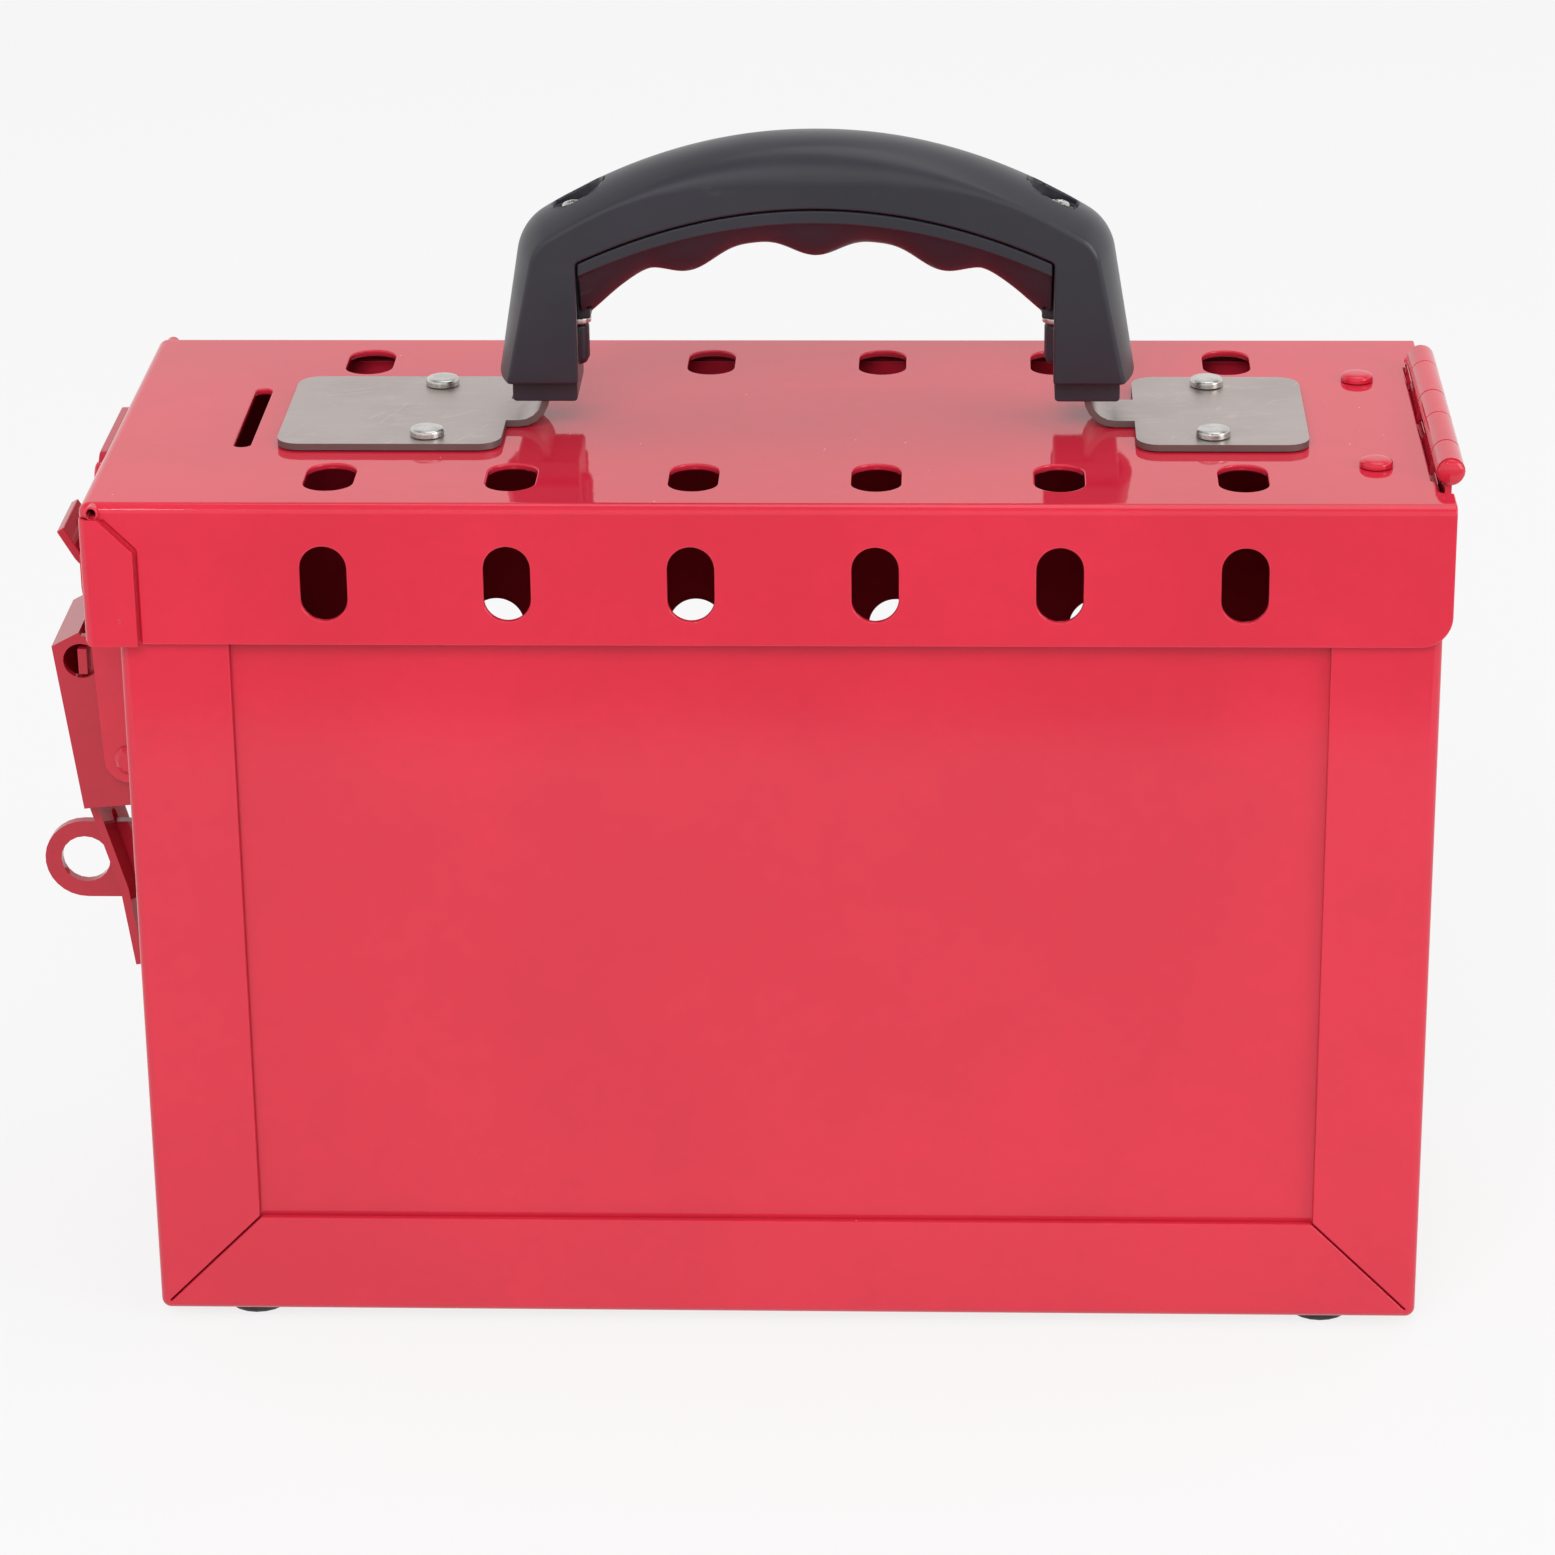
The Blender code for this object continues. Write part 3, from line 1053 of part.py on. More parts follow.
def build_leg_plug(name, way, material):
    """A plug that closes a leg round the bracket's strap."""
    outer = HANDLE_HALF_SPAN - HANDLE_WALL - LEG_PLUG_INSET
    inner = HANDLE_LEG_IN + SEAT
    low = TOP_Z + HANDLE_FOOT_Z - LEG_PLUG_DROP
    high = low + LEG_PLUG_HEIGHT
    half = HANDLE_HALF_WIDTH - HANDLE_WALL - SEAT
    line = [(inner, low), (outer, low), (outer - LEG_PLUG_LEAN, high), (inner, high)]
    plug = prism(name, [[(HANDLE_X + way * x, z) for x, z in line]], "XZ", -half, half)

    def lower(a, b):
        return a.z < low + WELD and b.z < low + WELD
    round_edges(plug, lower, LEG_PLUG_ROUND, 2)
    strap_x = HANDLE_X + way * BRACKET_STRAP_OFFSET
    gap = BRACKET_SHEET / 2 + SEAT
    way_through = prism(name + "_slot", [rectangle(strap_x - gap, strap_x + gap, low - OVERRUN, high + OVERRUN)],
                        "XZ", -BRACKET_STRAP_WIDTH / 2 - SEAT, BRACKET_STRAP_WIDTH / 2 + SEAT, CUTTERS)
    bend_high = TOP_Z + SEAT + BRACKET_SHEET / 2 + BRACKET_BEND + 2 * SEAT
    far = HANDLE_X + way * (HANDLE_HALF_SPAN + OVERRUN)
    near = strap_x - way * gap
    a, b = sorted((near, far))
    relief = prism(name + "_relief", [rectangle(a, b, low - OVERRUN, bend_high)], "XZ",
                   -BRACKET_NECK / 2 - SEAT, BRACKET_NECK / 2 + SEAT, CUTTERS)
    groove = SCREW_SHANK_RADIUS + SHANK_CLEARANCE
    screw_way = turned(name + "_groove", [(0, HANDLE_TOP), (groove, HANDLE_TOP), (groove, SCREW_END_Z - SEAT),
                                          (0, SCREW_END_Z - SEAT)],
                       (HANDLE_X + way * SCREW_OFFSET, 0, TOP_Z), (0, 0, 1), CUTTERS)
    cut(plug, way_through, relief, screw_way)
    return finish(plug, material)


def build_handle_screws(material):
    profile = [(0, SCREW_SEAT_Z + SCREW_HEAD_HEIGHT), (SCREW_HEAD_RADIUS * 0.6, SCREW_SEAT_Z + SCREW_HEAD_HEIGHT * 0.85),
               (SCREW_HEAD_RADIUS, SCREW_SEAT_Z + SCREW_HEAD_HEIGHT * 0.4), (SCREW_HEAD_RADIUS, SCREW_SEAT_Z),
               (SCREW_SHANK_RADIUS, SCREW_SEAT_Z), (SCREW_SHANK_RADIUS, SCREW_END_Z), (0, SCREW_END_Z)]
    places = {"handle_screw_left": (HANDLE_X - SCREW_OFFSET, 0, TOP_Z),
              "handle_screw_right": (HANDLE_X + SCREW_OFFSET, 0, TOP_Z)}
    rivets(places, (0, 0, 1), profile, material)


# Latch

def build_catch(material):
    """Plate on the lid's latch end, with a hook that opens upwards."""
    x0 = CATCH_FACE_X
    x1 = CATCH_FACE_X + LATCH_SHEET
    top = TOP_Z - CATCH_TOP_DROP
    bottom = TOP_Z - CATCH_BOTTOM_DROP
    plate = prism("latch_catch", [rounded_rectangle(-CATCH_HALF_WIDTH, CATCH_HALF_WIDTH, bottom, top,
                                                    CATCH_CORNER)], "YZ", x0, x1)
    middle = x0 + LATCH_SHEET / 2
    centre_z = TOP_Z - HOOK_CENTRE_DROP
    steps = 2 * ARC_STEPS
    line = [(middle, bottom + CATCH_CORNER), (middle, centre_z)]
    line += arc(HOOK_X, centre_z, HOOK_RADIUS, 0, -HOOK_TURN, steps)[1:]
    end = line[-1]
    heading = -HOOK_TURN - pi / 2
    line.append((end[0] + HOOK_LIP * cos(heading), end[1] + HOOK_LIP * sin(heading)))
    hook = prism("hook", [strip(line, LATCH_SHEET)], "XZ", -HOOK_HALF_WIDTH, HOOK_HALF_WIDTH, CUTTERS)
    fuse(plate, hook)
    holes = [shank_cutter("catch_hole", (x0, side * CATCH_RIVET_ROW, TOP_Z - CATCH_RIVET_DROP),
                          (-1, 0, 0), LATCH_SHEET + BEND_RADIUS) for side in (-1, 1)]
    cut(plate, joined("catch_holes", holes, CUTTERS))
    return finish(plate, material)


def build_latch_base(material):
    """Plate on the case with two ears, whose tabs are the lever's pivot."""
    wall = LATCH_WALL_X - SEAT
    face = wall - LATCH_SHEET
    half = EAR_HALF_WIDTH
    top = TOP_Z - BASE_TOP_DROP
    bottom = TOP_Z - BASE_BOTTOM_DROP
    base = prism("latch_base", [rectangle(-half, half, bottom, top)], "YZ", face, wall)
    ear_line = arc(PIVOT_X, PIVOT_Z, EAR_RADIUS, 0, pi, 2 * ARC_STEPS)
    ear_line += [(PIVOT_X - EAR_RADIUS * EAR_BACK_SHARE, PIVOT_Z - EAR_SHOULDER),
                 (PIVOT_X + EAR_WAIST_OUT, PIVOT_Z - EAR_WAIST_DROP),
                 (wall - SEAT, PIVOT_Z - EAR_ROOT_BOTTOM), (wall - SEAT, PIVOT_Z - EAR_ROOT_TOP),
                 (PIVOT_X + EAR_RADIUS, PIVOT_Z - EAR_SHOULDER)]
    extras = []
    for side in (-1, 1):
        low, high = sorted((side * half, side * (half - LATCH_SHEET)))
        extras.append(prism("ear", [ear_line], "XZ", low, high, CUTTERS))
    base = fuse(base, joined("ears", extras, CUTTERS))
    tabs = []
    for side in (-1, 1):
        low, high = sorted((side * (half - LATCH_SHEET / 2), side * (LEVER_HALF_WIDTH + EAR_TAB_PROUD)))
        tabs.append(prism("tab", [rectangle(PIVOT_X - EAR_TAB_THICKNESS / 2, PIVOT_X + EAR_TAB_THICKNESS / 2,
                                            PIVOT_Z - EAR_TAB_HEIGHT / 2, PIVOT_Z + EAR_TAB_HEIGHT / 2)],
                          "XZ", low, high, CUTTERS))
    fuse(base, joined("tabs", tabs, CUTTERS))
    holes = [shank_cutter("base_hole", (face, 0, TOP_Z - drop), (-1, 0, 0), LATCH_SHEET + OVERRUN)
             for drop in BASE_RIVET_DROPS]
    cut(base, joined("base_holes", holes, CUTTERS))
    return finish(base, material)


def build_staple(material):
    """Fixed plate with an eye for a padlock, on a foot on the case."""
    wall = LATCH_WALL_X - SEAT
    face = wall - LATCH_SHEET
    eye_x = LATCH_WALL_X - STAPLE_OUT
    eye_z = TOP_Z - STAPLE_DROP
    outline = arc(eye_x, eye_z, STAPLE_RADIUS, pi / 2, 3 * pi / 2, 3 * ARC_STEPS)
    outline += [(face + LATCH_SHEET / 2, eye_z - STAPLE_RADIUS), (face + LATCH_SHEET / 2, eye_z + STAPLE_RADIUS)]
    blade = prism("blade", [outline, circle(eye_x, eye_z, STAPLE_EYE_RADIUS)], "XZ",
                  -STAPLE_SHEET / 2, STAPLE_SHEET / 2, CUTTERS)
    over = STAPLE_RADIUS + STAPLE_FOOT_OVER
    foot = prism("padlock_staple", [rounded_rectangle(-STAPLE_FOOT_HALF_WIDTH, STAPLE_FOOT_HALF_WIDTH,
                                                      eye_z - over, eye_z + over, STAPLE_SHEET)], "YZ", face, wall)
    fuse(foot, blade)
    holes = [shank_cutter("staple_hole", (face, side * STAPLE_RIVET_ROW, eye_z), (-1, 0, 0),
                          LATCH_SHEET + OVERRUN) for side in (-1, 1)]
    cut(foot, joined("staple_holes", holes, CUTTERS))
    return finish(foot, material)


def build_latch_rivets(material):
    grip = LATCH_SHEET + SHEET + 3 * SEAT
    face = LATCH_WALL_X - LATCH_SHEET - 2 * SEAT
    axis = (-1, 0, 0)
    low_head = rivet_profile(BASE_RIVET_HEAD, BASE_RIVET_HEIGHT, grip)
    places = {"latch_base_rivet_" + word: (face, 0, TOP_Z - drop)
              for word, drop in zip(("upper", "lower"), BASE_RIVET_DROPS)}
    places.update(front_and_back("staple_rivet", face, STAPLE_RIVET_ROW, TOP_Z - STAPLE_DROP))
    rivets(places, axis, low_head, material)
    catch_head = rivet_profile(CATCH_RIVET_HEAD, CATCH_RIVET_HEIGHT, grip)
    places = front_and_back("catch_rivet", CATCH_FACE_X - SEAT, CATCH_RIVET_ROW, TOP_Z - CATCH_RIVET_DROP)
    rivets(places, axis, catch_head, material)


def lever_line():
    """Centre line of the lever's web, from its top lip to the end of its tongue."""
    half = LATCH_SHEET / 2
    top_x = PIVOT_X - LEVER_OUT + half
    top_z = PIVOT_Z + LEVER_TOP
    return [(PIVOT_X - SEAT / 3, PIVOT_Z + LEVER_TIP_RISE - half), (top_x, top_z - half),
            (PIVOT_X - LEVER_LOWER_OUT + half, PIVOT_Z - LEVER_FLANGE),
            (PIVOT_X + LEVER_TONGUE_IN - half, PIVOT_Z - LEVER_TONGUE_BEND),
            (PIVOT_X + LEVER_TONGUE_IN + LEVER_TONGUE_TILT - half, PIVOT_Z - LEVER_TONGUE_END)]


def build_lever(material):
    """A channel that turns on the tabs of the base, with a tongue that is slotted for the staple."""
    lip, corner, knee, bend, end = lever_line()
    half = LEVER_HALF_WIDTH
    channel = prism("latch_lever", [strip([lip, corner, knee], LATCH_SHEET)], "XZ", -half, half)
    tongue = prism("tongue", [strip([(corner[0] * 0.2 + knee[0] * 0.8, corner[1] * 0.2 + knee[1] * 0.8),
                                     knee, bend, end], LATCH_SHEET)], "XZ", -LEVER_TONGUE, LEVER_TONGUE, CUTTERS)
    side_line = [lip, corner, knee]
    side_line += [(PIVOT_X + LEVER_FLANGE_IN * x, PIVOT_Z + LEVER_FLANGE * z) for x, z in FLANGE_SHARES]
    sides = []
    for side in (-1, 1):
        low, high = sorted((side * half, side * (half - LATCH_SHEET)))
        sides.append(prism("flange", [side_line], "XZ", low, high, CUTTERS))
    fuse(channel, tongue, joined("lever_flanges", sides, CUTTERS))
    pivot_hole = prism("lever_hole", [circle(PIVOT_X, PIVOT_Z, LEVER_HOLE_RADIUS)], "XZ",
                       -half - OVERRUN, half + OVERRUN, CUTTERS)
    web = prism("keep_web", [rectangle(PIVOT_X - LEVER_OUT - OVERRUN, PIVOT_X + OVERRUN,
                                       PIVOT_Z - OVERRUN, PIVOT_Z + LEVER_TOP + OVERRUN)], "XZ",
                -half + LATCH_SHEET + SEAT, half - LATCH_SHEET - SEAT, CUTTERS)
    cut(pivot_hole, web)
    pin_x = PIVOT_X + LINK_PIVOT_IN
    pin_z = PIVOT_Z - LINK_PIVOT_DROP
    pin_hole = prism("pin_hole", [circle(pin_x, pin_z, LINK_PIN_RADIUS + SHANK_CLEARANCE)], "XZ",
                     -half - OVERRUN, half + OVERRUN, CUTTERS)
    slot_half = STAPLE_SHEET / 2 + STAPLE_SLOT_CLEARANCE
    eye_z = TOP_Z - STAPLE_DROP
    slot_low = eye_z - STAPLE_RADIUS - STAPLE_SLOT_OVER
    slot_high = eye_z + STAPLE_RADIUS + STAPLE_SLOT_OVER
    slot = prism("staple_slot", [rounded_rectangle(-slot_half, slot_half, slot_low, slot_high, slot_half * SLOT_CORNER_SHARE)],
                 "YZ", PIVOT_X - LEVER_FLANGE_IN, PIVOT_X + LEVER_FLANGE_IN, CUTTERS)
    cut(channel, pivot_hole, pin_hole, slot)
    return finish(channel, material)


def link_outline():
    """A cheek of the link, from its round lower end to its top beside the hook."""
    pin_x = PIVOT_X + LINK_PIVOT_IN
    pin_z = PIVOT_Z - LINK_PIVOT_DROP
    bar_z = TOP_Z - BAR_DROP
    half = LINK_TOP_WIDTH / 2
    lower = arc(pin_x, pin_z, LINK_END_RADIUS, -pi, 0, 2 * ARC_STEPS)
    upper = arc(HOOK_X, bar_z, half, 0, pi, ARC_STEPS)
    run = bar_z - pin_z
    right = [(HOOK_X + half + LINK_SPREAD * x, bar_z - run * z) for x, z in LINK_RIGHT_SHARES]
    left = [(HOOK_X - half + LINK_SPREAD * x, bar_z - run * z) for x, z in LINK_LEFT_SHARES]
    return lower + right + upper + left


def build_link(material):
    """Two cheeks outside the lever, joined by the bar that pulls on the hook."""
    inner = LEVER_HALF_WIDTH + LINK_GAP
    outer = inner + LATCH_SHEET
    bar_z = TOP_Z - BAR_DROP
    bar = prism("latch_link", [circle(HOOK_X, bar_z, LINK_BAR_RADIUS, CIRCLE_SIDES // 2)], "XZ",
                -inner - LATCH_SHEET / 2, inner + LATCH_SHEET / 2)
    cheeks = []
    pin_x = PIVOT_X + LINK_PIVOT_IN
    pin_z = PIVOT_Z - LINK_PIVOT_DROP
    hole = circle(pin_x, pin_z, LINK_PIN_RADIUS + SHANK_CLEARANCE)
    for side in (-1, 1):
        low, high = sorted((side * inner, side * outer))
        cheeks.append(prism("cheek", [link_outline(), hole], "XZ", low, high, CUTTERS))
    fuse(bar, joined("cheeks", cheeks, CUTTERS))
    return finish(bar, material)


def build_link_pins(material):
    """Two short rivets, set flush in the lever's flanges, that hold the link's cheeks."""
    half = LEVER_HALF_WIDTH
    inside = half - LATCH_SHEET
    outside = half + LINK_GAP + LATCH_SHEET + SEAT
    pin_x = PIVOT_X + LINK_PIVOT_IN
    pin_z = PIVOT_Z - LINK_PIVOT_DROP
    profile = [(0, outside + LINK_PIN_HEAD_HEIGHT), (LINK_PIN_HEAD * 0.7, outside + LINK_PIN_HEAD_HEIGHT),
               (LINK_PIN_HEAD, outside), (LINK_PIN_RADIUS, outside), (LINK_PIN_RADIUS, inside), (0, inside)]
    rivets({"link_pin_front": (pin_x, 0, pin_z)}, (0, -1, 0), profile, material)
    rivets({"link_pin_back": (pin_x, 0, pin_z)}, (0, 1, 0), profile, material)


# Assembly

def main():
    def red(name, roughness=0.3):
        return new_material(name, RED_COAT, roughness)

    def steel(name):
        return new_material(name, STEEL, 0.42, 0.9)
    build_case_wrap(red("case_wrap_coat"))
    build_panels(red("panel_coat"))
    build_feet(new_material("foot_rubber", RUBBER, 0.8), steel("foot_screw_steel"))
    build_case_leaf(red("case_leaf_coat"))
    build_hinge_pin(red("hinge_pin_coat"))
    build_hinge_rivets(red("hinge_rivet_coat"))
    build_latch_base(red("latch_base_coat"))
    build_staple(red("staple_coat"))
    build_latch_rivets(red("latch_rivet_coat"))
    build_lid_shell(red("lid_coat"))
    build_lid_leaf(red("lid_leaf_coat"))
    build_catch(red("catch_coat"))
    build_bracket("handle_bracket_left", -1, BRACKET_LEFT_LENGTH, BRACKET_UNDER_LEFT, HANDLE_RIVET_LEFT,
                  steel("bracket_left_steel"))
    build_bracket("handle_bracket_right", 1, BRACKET_RIGHT_LENGTH, 0, HANDLE_RIVET_RIGHT, steel("bracket_right_steel"))
    build_handle_rivets(steel("handle_rivet_steel"))
    build_handle_shell(new_material("shell_plastic", PLASTIC, 0.45))
    build_handle_grip(new_material("grip_plastic", PLASTIC, 0.5))
    build_leg_plug("leg_plug_left", -1, new_material("plug_left_plastic", PLASTIC, 0.5))
    build_leg_plug("leg_plug_right", 1, new_material("plug_right_plastic", PLASTIC, 0.5))
    build_handle_screws(steel("handle_screw_steel"))
    build_lever(red("lever_coat"))
    build_link(red("link_coat"))
    build_link_pins(steel("link_pin_steel"))


main()
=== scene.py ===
"""Finished looks of the group lockout box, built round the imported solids.

Metres, +Z up, the front faces -Y. Every piece sits where the solids say and rides on their bodies.
"""

from contextlib import contextmanager
from math import atan2, cos, pi, radians, sin

import bmesh
import bpy
from bpy.props import FloatProperty, FloatVectorProperty, PointerProperty
from mathutils import Matrix, Vector


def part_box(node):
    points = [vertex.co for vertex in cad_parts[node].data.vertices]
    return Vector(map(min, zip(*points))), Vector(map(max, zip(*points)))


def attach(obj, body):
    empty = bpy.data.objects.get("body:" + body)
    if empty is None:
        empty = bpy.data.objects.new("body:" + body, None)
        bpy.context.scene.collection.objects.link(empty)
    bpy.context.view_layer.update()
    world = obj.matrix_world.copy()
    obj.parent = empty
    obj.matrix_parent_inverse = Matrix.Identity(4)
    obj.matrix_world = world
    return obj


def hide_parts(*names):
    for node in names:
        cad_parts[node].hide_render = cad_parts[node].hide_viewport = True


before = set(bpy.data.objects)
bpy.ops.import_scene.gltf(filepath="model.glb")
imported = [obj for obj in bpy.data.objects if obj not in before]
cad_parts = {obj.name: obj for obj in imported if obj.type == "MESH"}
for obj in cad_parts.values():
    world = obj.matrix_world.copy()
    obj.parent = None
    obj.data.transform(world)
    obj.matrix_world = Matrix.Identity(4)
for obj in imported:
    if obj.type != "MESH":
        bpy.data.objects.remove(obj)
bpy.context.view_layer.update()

bl_info = {
    "name": "Group lockout box looks",
    "version": (1, 0, 0),
    "blender": (4, 5, 0),
    "location": "View3D > Sidebar > Lockout box",
    "description": "Builds the finished look of a group lockout box round its solids",
    "category": "Object",
}

MM = 0.001
PHOTO_SIDE, SENSOR_MM = 1555, 36.0
PAST = 5.0 * MM


# Node trees written as expressions

def operation(name, swapped=False):
    """A sum of a term and another value, as a node."""
    def run(term, other):
        return term.net.math(name, *((other, term) if swapped else (term, other)))
    return run


class Term:
    """A socket that works like a number in an expression."""

    def __init__(self, net, socket):
        self.net = net
        self.socket = socket

    __add__ = __radd__ = operation("ADD")
    __sub__, __rsub__ = operation("SUBTRACT"), operation("SUBTRACT", True)
    __mul__ = __rmul__ = operation("MULTIPLY")
    __truediv__, __rtruediv__ = operation("DIVIDE"), operation("DIVIDE", True)
    __lt__ = operation("LESS_THAN")


class Net:
    """A node tree that is filled by expressions on its sockets."""

    def __init__(self, tree):
        self.tree = tree

    def add(self, kind, sockets=None, output=0, **settings):
        """Any node: its settings first, then the values or links of its sockets."""
        node = self.tree.nodes.new(kind)
        for name, value in settings.items():
            setattr(node, name, value)
        for name, value in (sockets or {}).items():
            self.feed(node.inputs[name], value)
        return Term(self, node.outputs[output]) if len(node.outputs) else node

    def feed(self, socket, value):
        if isinstance(value, Term):
            self.tree.links.new(value.socket, socket)
        elif value is not None:
            socket.default_value = value

    def math(self, operation, first, second=None, clamp=False):
        sockets = {i: v for i, v in enumerate((first, second)) if v is not None}
        return self.add("ShaderNodeMath", sockets, operation=operation, use_clamp=clamp)

    def clamp(self, value):
        return self.math("MULTIPLY", value, 1.0, clamp=True)

    def smooth(self, value, low, high):
        """0 below low, 1 above high, and smooth between them."""
        return self.add("ShaderNodeMapRange", {"Value": value, "From Min": low, "From Max": high},
                        interpolation_type="SMOOTHSTEP")

    def mix(self, share, first, second):
        """A colour between two colours."""
        colours = [c if isinstance(c, Term) else (*c, 1.0) for c in (first, second)]
        return self.add("ShaderNodeMix", {"Factor": share, 6: colours[0], 7: colours[1]}, 2, data_type="RGBA")

    def vector(self, operation, first, second, output=0):
        return self.add("ShaderNodeVectorMath", {0: first, 1: second}, output, operation=operation)

    def outputs(self, term):
        """All the outputs of the node that a term comes from, by name or number."""
        node = term.socket.node
        return {key: Term(self, socket)
                for i, socket in enumerate(node.outputs) for key in (i, socket.name)}

    def split(self, vector):
        parts = self.outputs(self.add("ShaderNodeSeparateXYZ", {0: vector}))
        return [parts[i] for i in range(3)]

    def noise(self, place, scale, detail=2.0, roughness=0.5, stretch=(1, 1, 1)):
        spot = self.vector("MULTIPLY", place, stretch)
        return self.add("ShaderNodeTexNoise", {"Vector": spot, "Scale": scale, "Detail": detail,
                                               "Roughness": roughness})

    def cells(self, place, scale, feature="F1"):
        return self.add("ShaderNodeTexVoronoi", {"Vector": place, "Scale": scale}, feature=feature)


class Finish:
    """A material with a main shader, on the piece's own coordinates."""

    def __init__(self, name, **constants):
        self.material = bpy.data.materials.new(name)
        self.material.use_nodes = True
        self.net = Net(self.material.node_tree)
        self.shader = self.material.node_tree.nodes["Principled BSDF"]
        self.place = self.net.add("ShaderNodeTexCoord", output=3)
        for key, value in constants.items():
            self.shader.inputs[key.replace("_", " ")].default_value = value

    def upward(self):
        """How much the surface faces up, on the piece's own axes in every pose."""
        return self.net.split(self.net.add("ShaderNodeTexCoord", output=1))[2]

    def bumps(self, *layers):
        """Fine relief from pairs of a height and its depth, each laid on the ones before."""
        normal = None
        for height, depth in layers:
            normal = self.net.add("ShaderNodeBump", {"Height": height, "Distance": depth,
                                                     "Normal": normal})
        return normal

    def set(self, **varying):
        for key, value in varying.items():
            self.net.feed(self.shader.inputs[key.replace("_", " ")], value)
        return self.material


# Sizes and colours that a user may change

def colour_of(what, default):
    return FloatVectorProperty(name="Colour", description=f"Colour of the {what}", subtype="COLOR",
                               size=3, min=0.0, max=1.0, default=default)


def roughness_of(what, default):
    return FloatProperty(name="Roughness", description=f"Roughness of the {what}", subtype="FACTOR",
                         min=0.0, max=1.0, default=default)


def rounding_of(name, what, most, default):
    return FloatProperty(name=name, description=f"Rounding of the edges of the {what}", subtype="DISTANCE",
                         unit="LENGTH", min=0.0, max=most, precision=5, default=default)


def angle_of(name, description, degrees):
    return FloatProperty(name=name, description=description, subtype="ANGLE", default=radians(degrees))


class CoatSettings(bpy.types.PropertyGroup):
    """Powder coat of the case, the lid and the latch."""

    colour: colour_of("coat", (0.62, 0.020, 0.047))
    roughness: roughness_of("coat's gloss", 0.055)
    # Painted shade: the share of the coat's colour left on the latch's copy, which stands in for the shade
    # beside the case
    latch_painted_shade: FloatProperty(name="Latch painted shade", description="Depth of the colour on the latch's pieces",
                               subtype="FACTOR", min=0.0, max=1.0, default=0.76)
    peel_scale: FloatProperty(name="Orange peel scale", description="Waves of the orange peel in a metre",
                              min=50.0, max=2000.0, default=420.0)
    peel_depth: FloatProperty(name="Orange peel depth", description="Height of the orange peel",
                              subtype="DISTANCE", min=0.0, max=0.001, default=0.010 * MM)


class SteelSettings(bpy.types.PropertyGroup):
    """Bare steel of the brackets and their rivets."""

    colour: colour_of("bracket steel", (0.51, 0.44, 0.42))
    roughness: roughness_of("bracket steel", 0.36)


class HandleSettings(bpy.types.PropertyGroup):
    """Moulded plastic of the handle."""

    colour: colour_of("plastic", (0.020, 0.020, 0.027))
    roughness: roughness_of("plastic", 0.33)


class ShapeSettings(bpy.types.PropertyGroup):
    """Softness of the edges."""

    edge: rounding_of("Coated edge", "coated sheet steel", 0.001, 0.32 * MM)
    moulded_edge: rounding_of("Moulded edge", "handle", 0.003, 0.55 * MM)


class StageSettings(bpy.types.PropertyGroup):
    """Floor, lights and camera."""

    backdrop: FloatProperty(name="Backdrop", description="Brightness of the floor and the backdrop",
                            min=0.0, max=1.0, default=0.95)
    sky: FloatProperty(name="Sky", description="Strength of the even light from all sides",
                       min=0.0, max=2.0, default=0.62)
    dim_overhead: FloatProperty(name="Dim overhead", min=0.0, max=0.9, default=0.62,
                                description="How much less of the white shows from above in reflections")
    camera_place: FloatVectorProperty(name="Camera", description="Place of the camera", subtype="TRANSLATION",
                                      size=3, default=(0.04236, -0.85481, 0.43957))
    camera_yaw: angle_of("Yaw", "Turn of the camera to its left", 2.296)
    camera_pitch: angle_of("Pitch", "How far the camera looks down", 22.333)
    camera_roll: angle_of("Roll", "Roll of the camera", -0.651)
    focal_pixels: FloatProperty(name="Focal length", description="Focal length in pixels of the photograph",
                                default=5074.17)


SETTINGS = {"coat": CoatSettings, "steel": SteelSettings, "handle": HandleSettings, "shape": ShapeSettings,
            "stage": StageSettings}


class BoxSettings(bpy.types.PropertyGroup):
    """All the settings of the lockout box."""

    coat: PointerProperty(type=CoatSettings)
    steel: PointerProperty(type=SteelSettings)
    handle: PointerProperty(type=HandleSettings)
    shape: PointerProperty(type=ShapeSettings)
    stage: PointerProperty(type=StageSettings)


def settings():
    return bpy.context.scene.lockout_box


# Finishes

def made_once(name, **constants):
    """A finish that is made when it is first asked for, and found by its name after that."""
    def wrap(fill):
        return lambda: bpy.data.materials.get(name) or fill(Finish(name, **constants))
    return wrap


def tinted(colour, share):
    """The colour made deeper or paler."""
    return tuple(min(1.0, c * share) for c in colour)


DUST, SPECK = (0.80, 0.62, 0.60), (0.09, 0.012, 0.018)


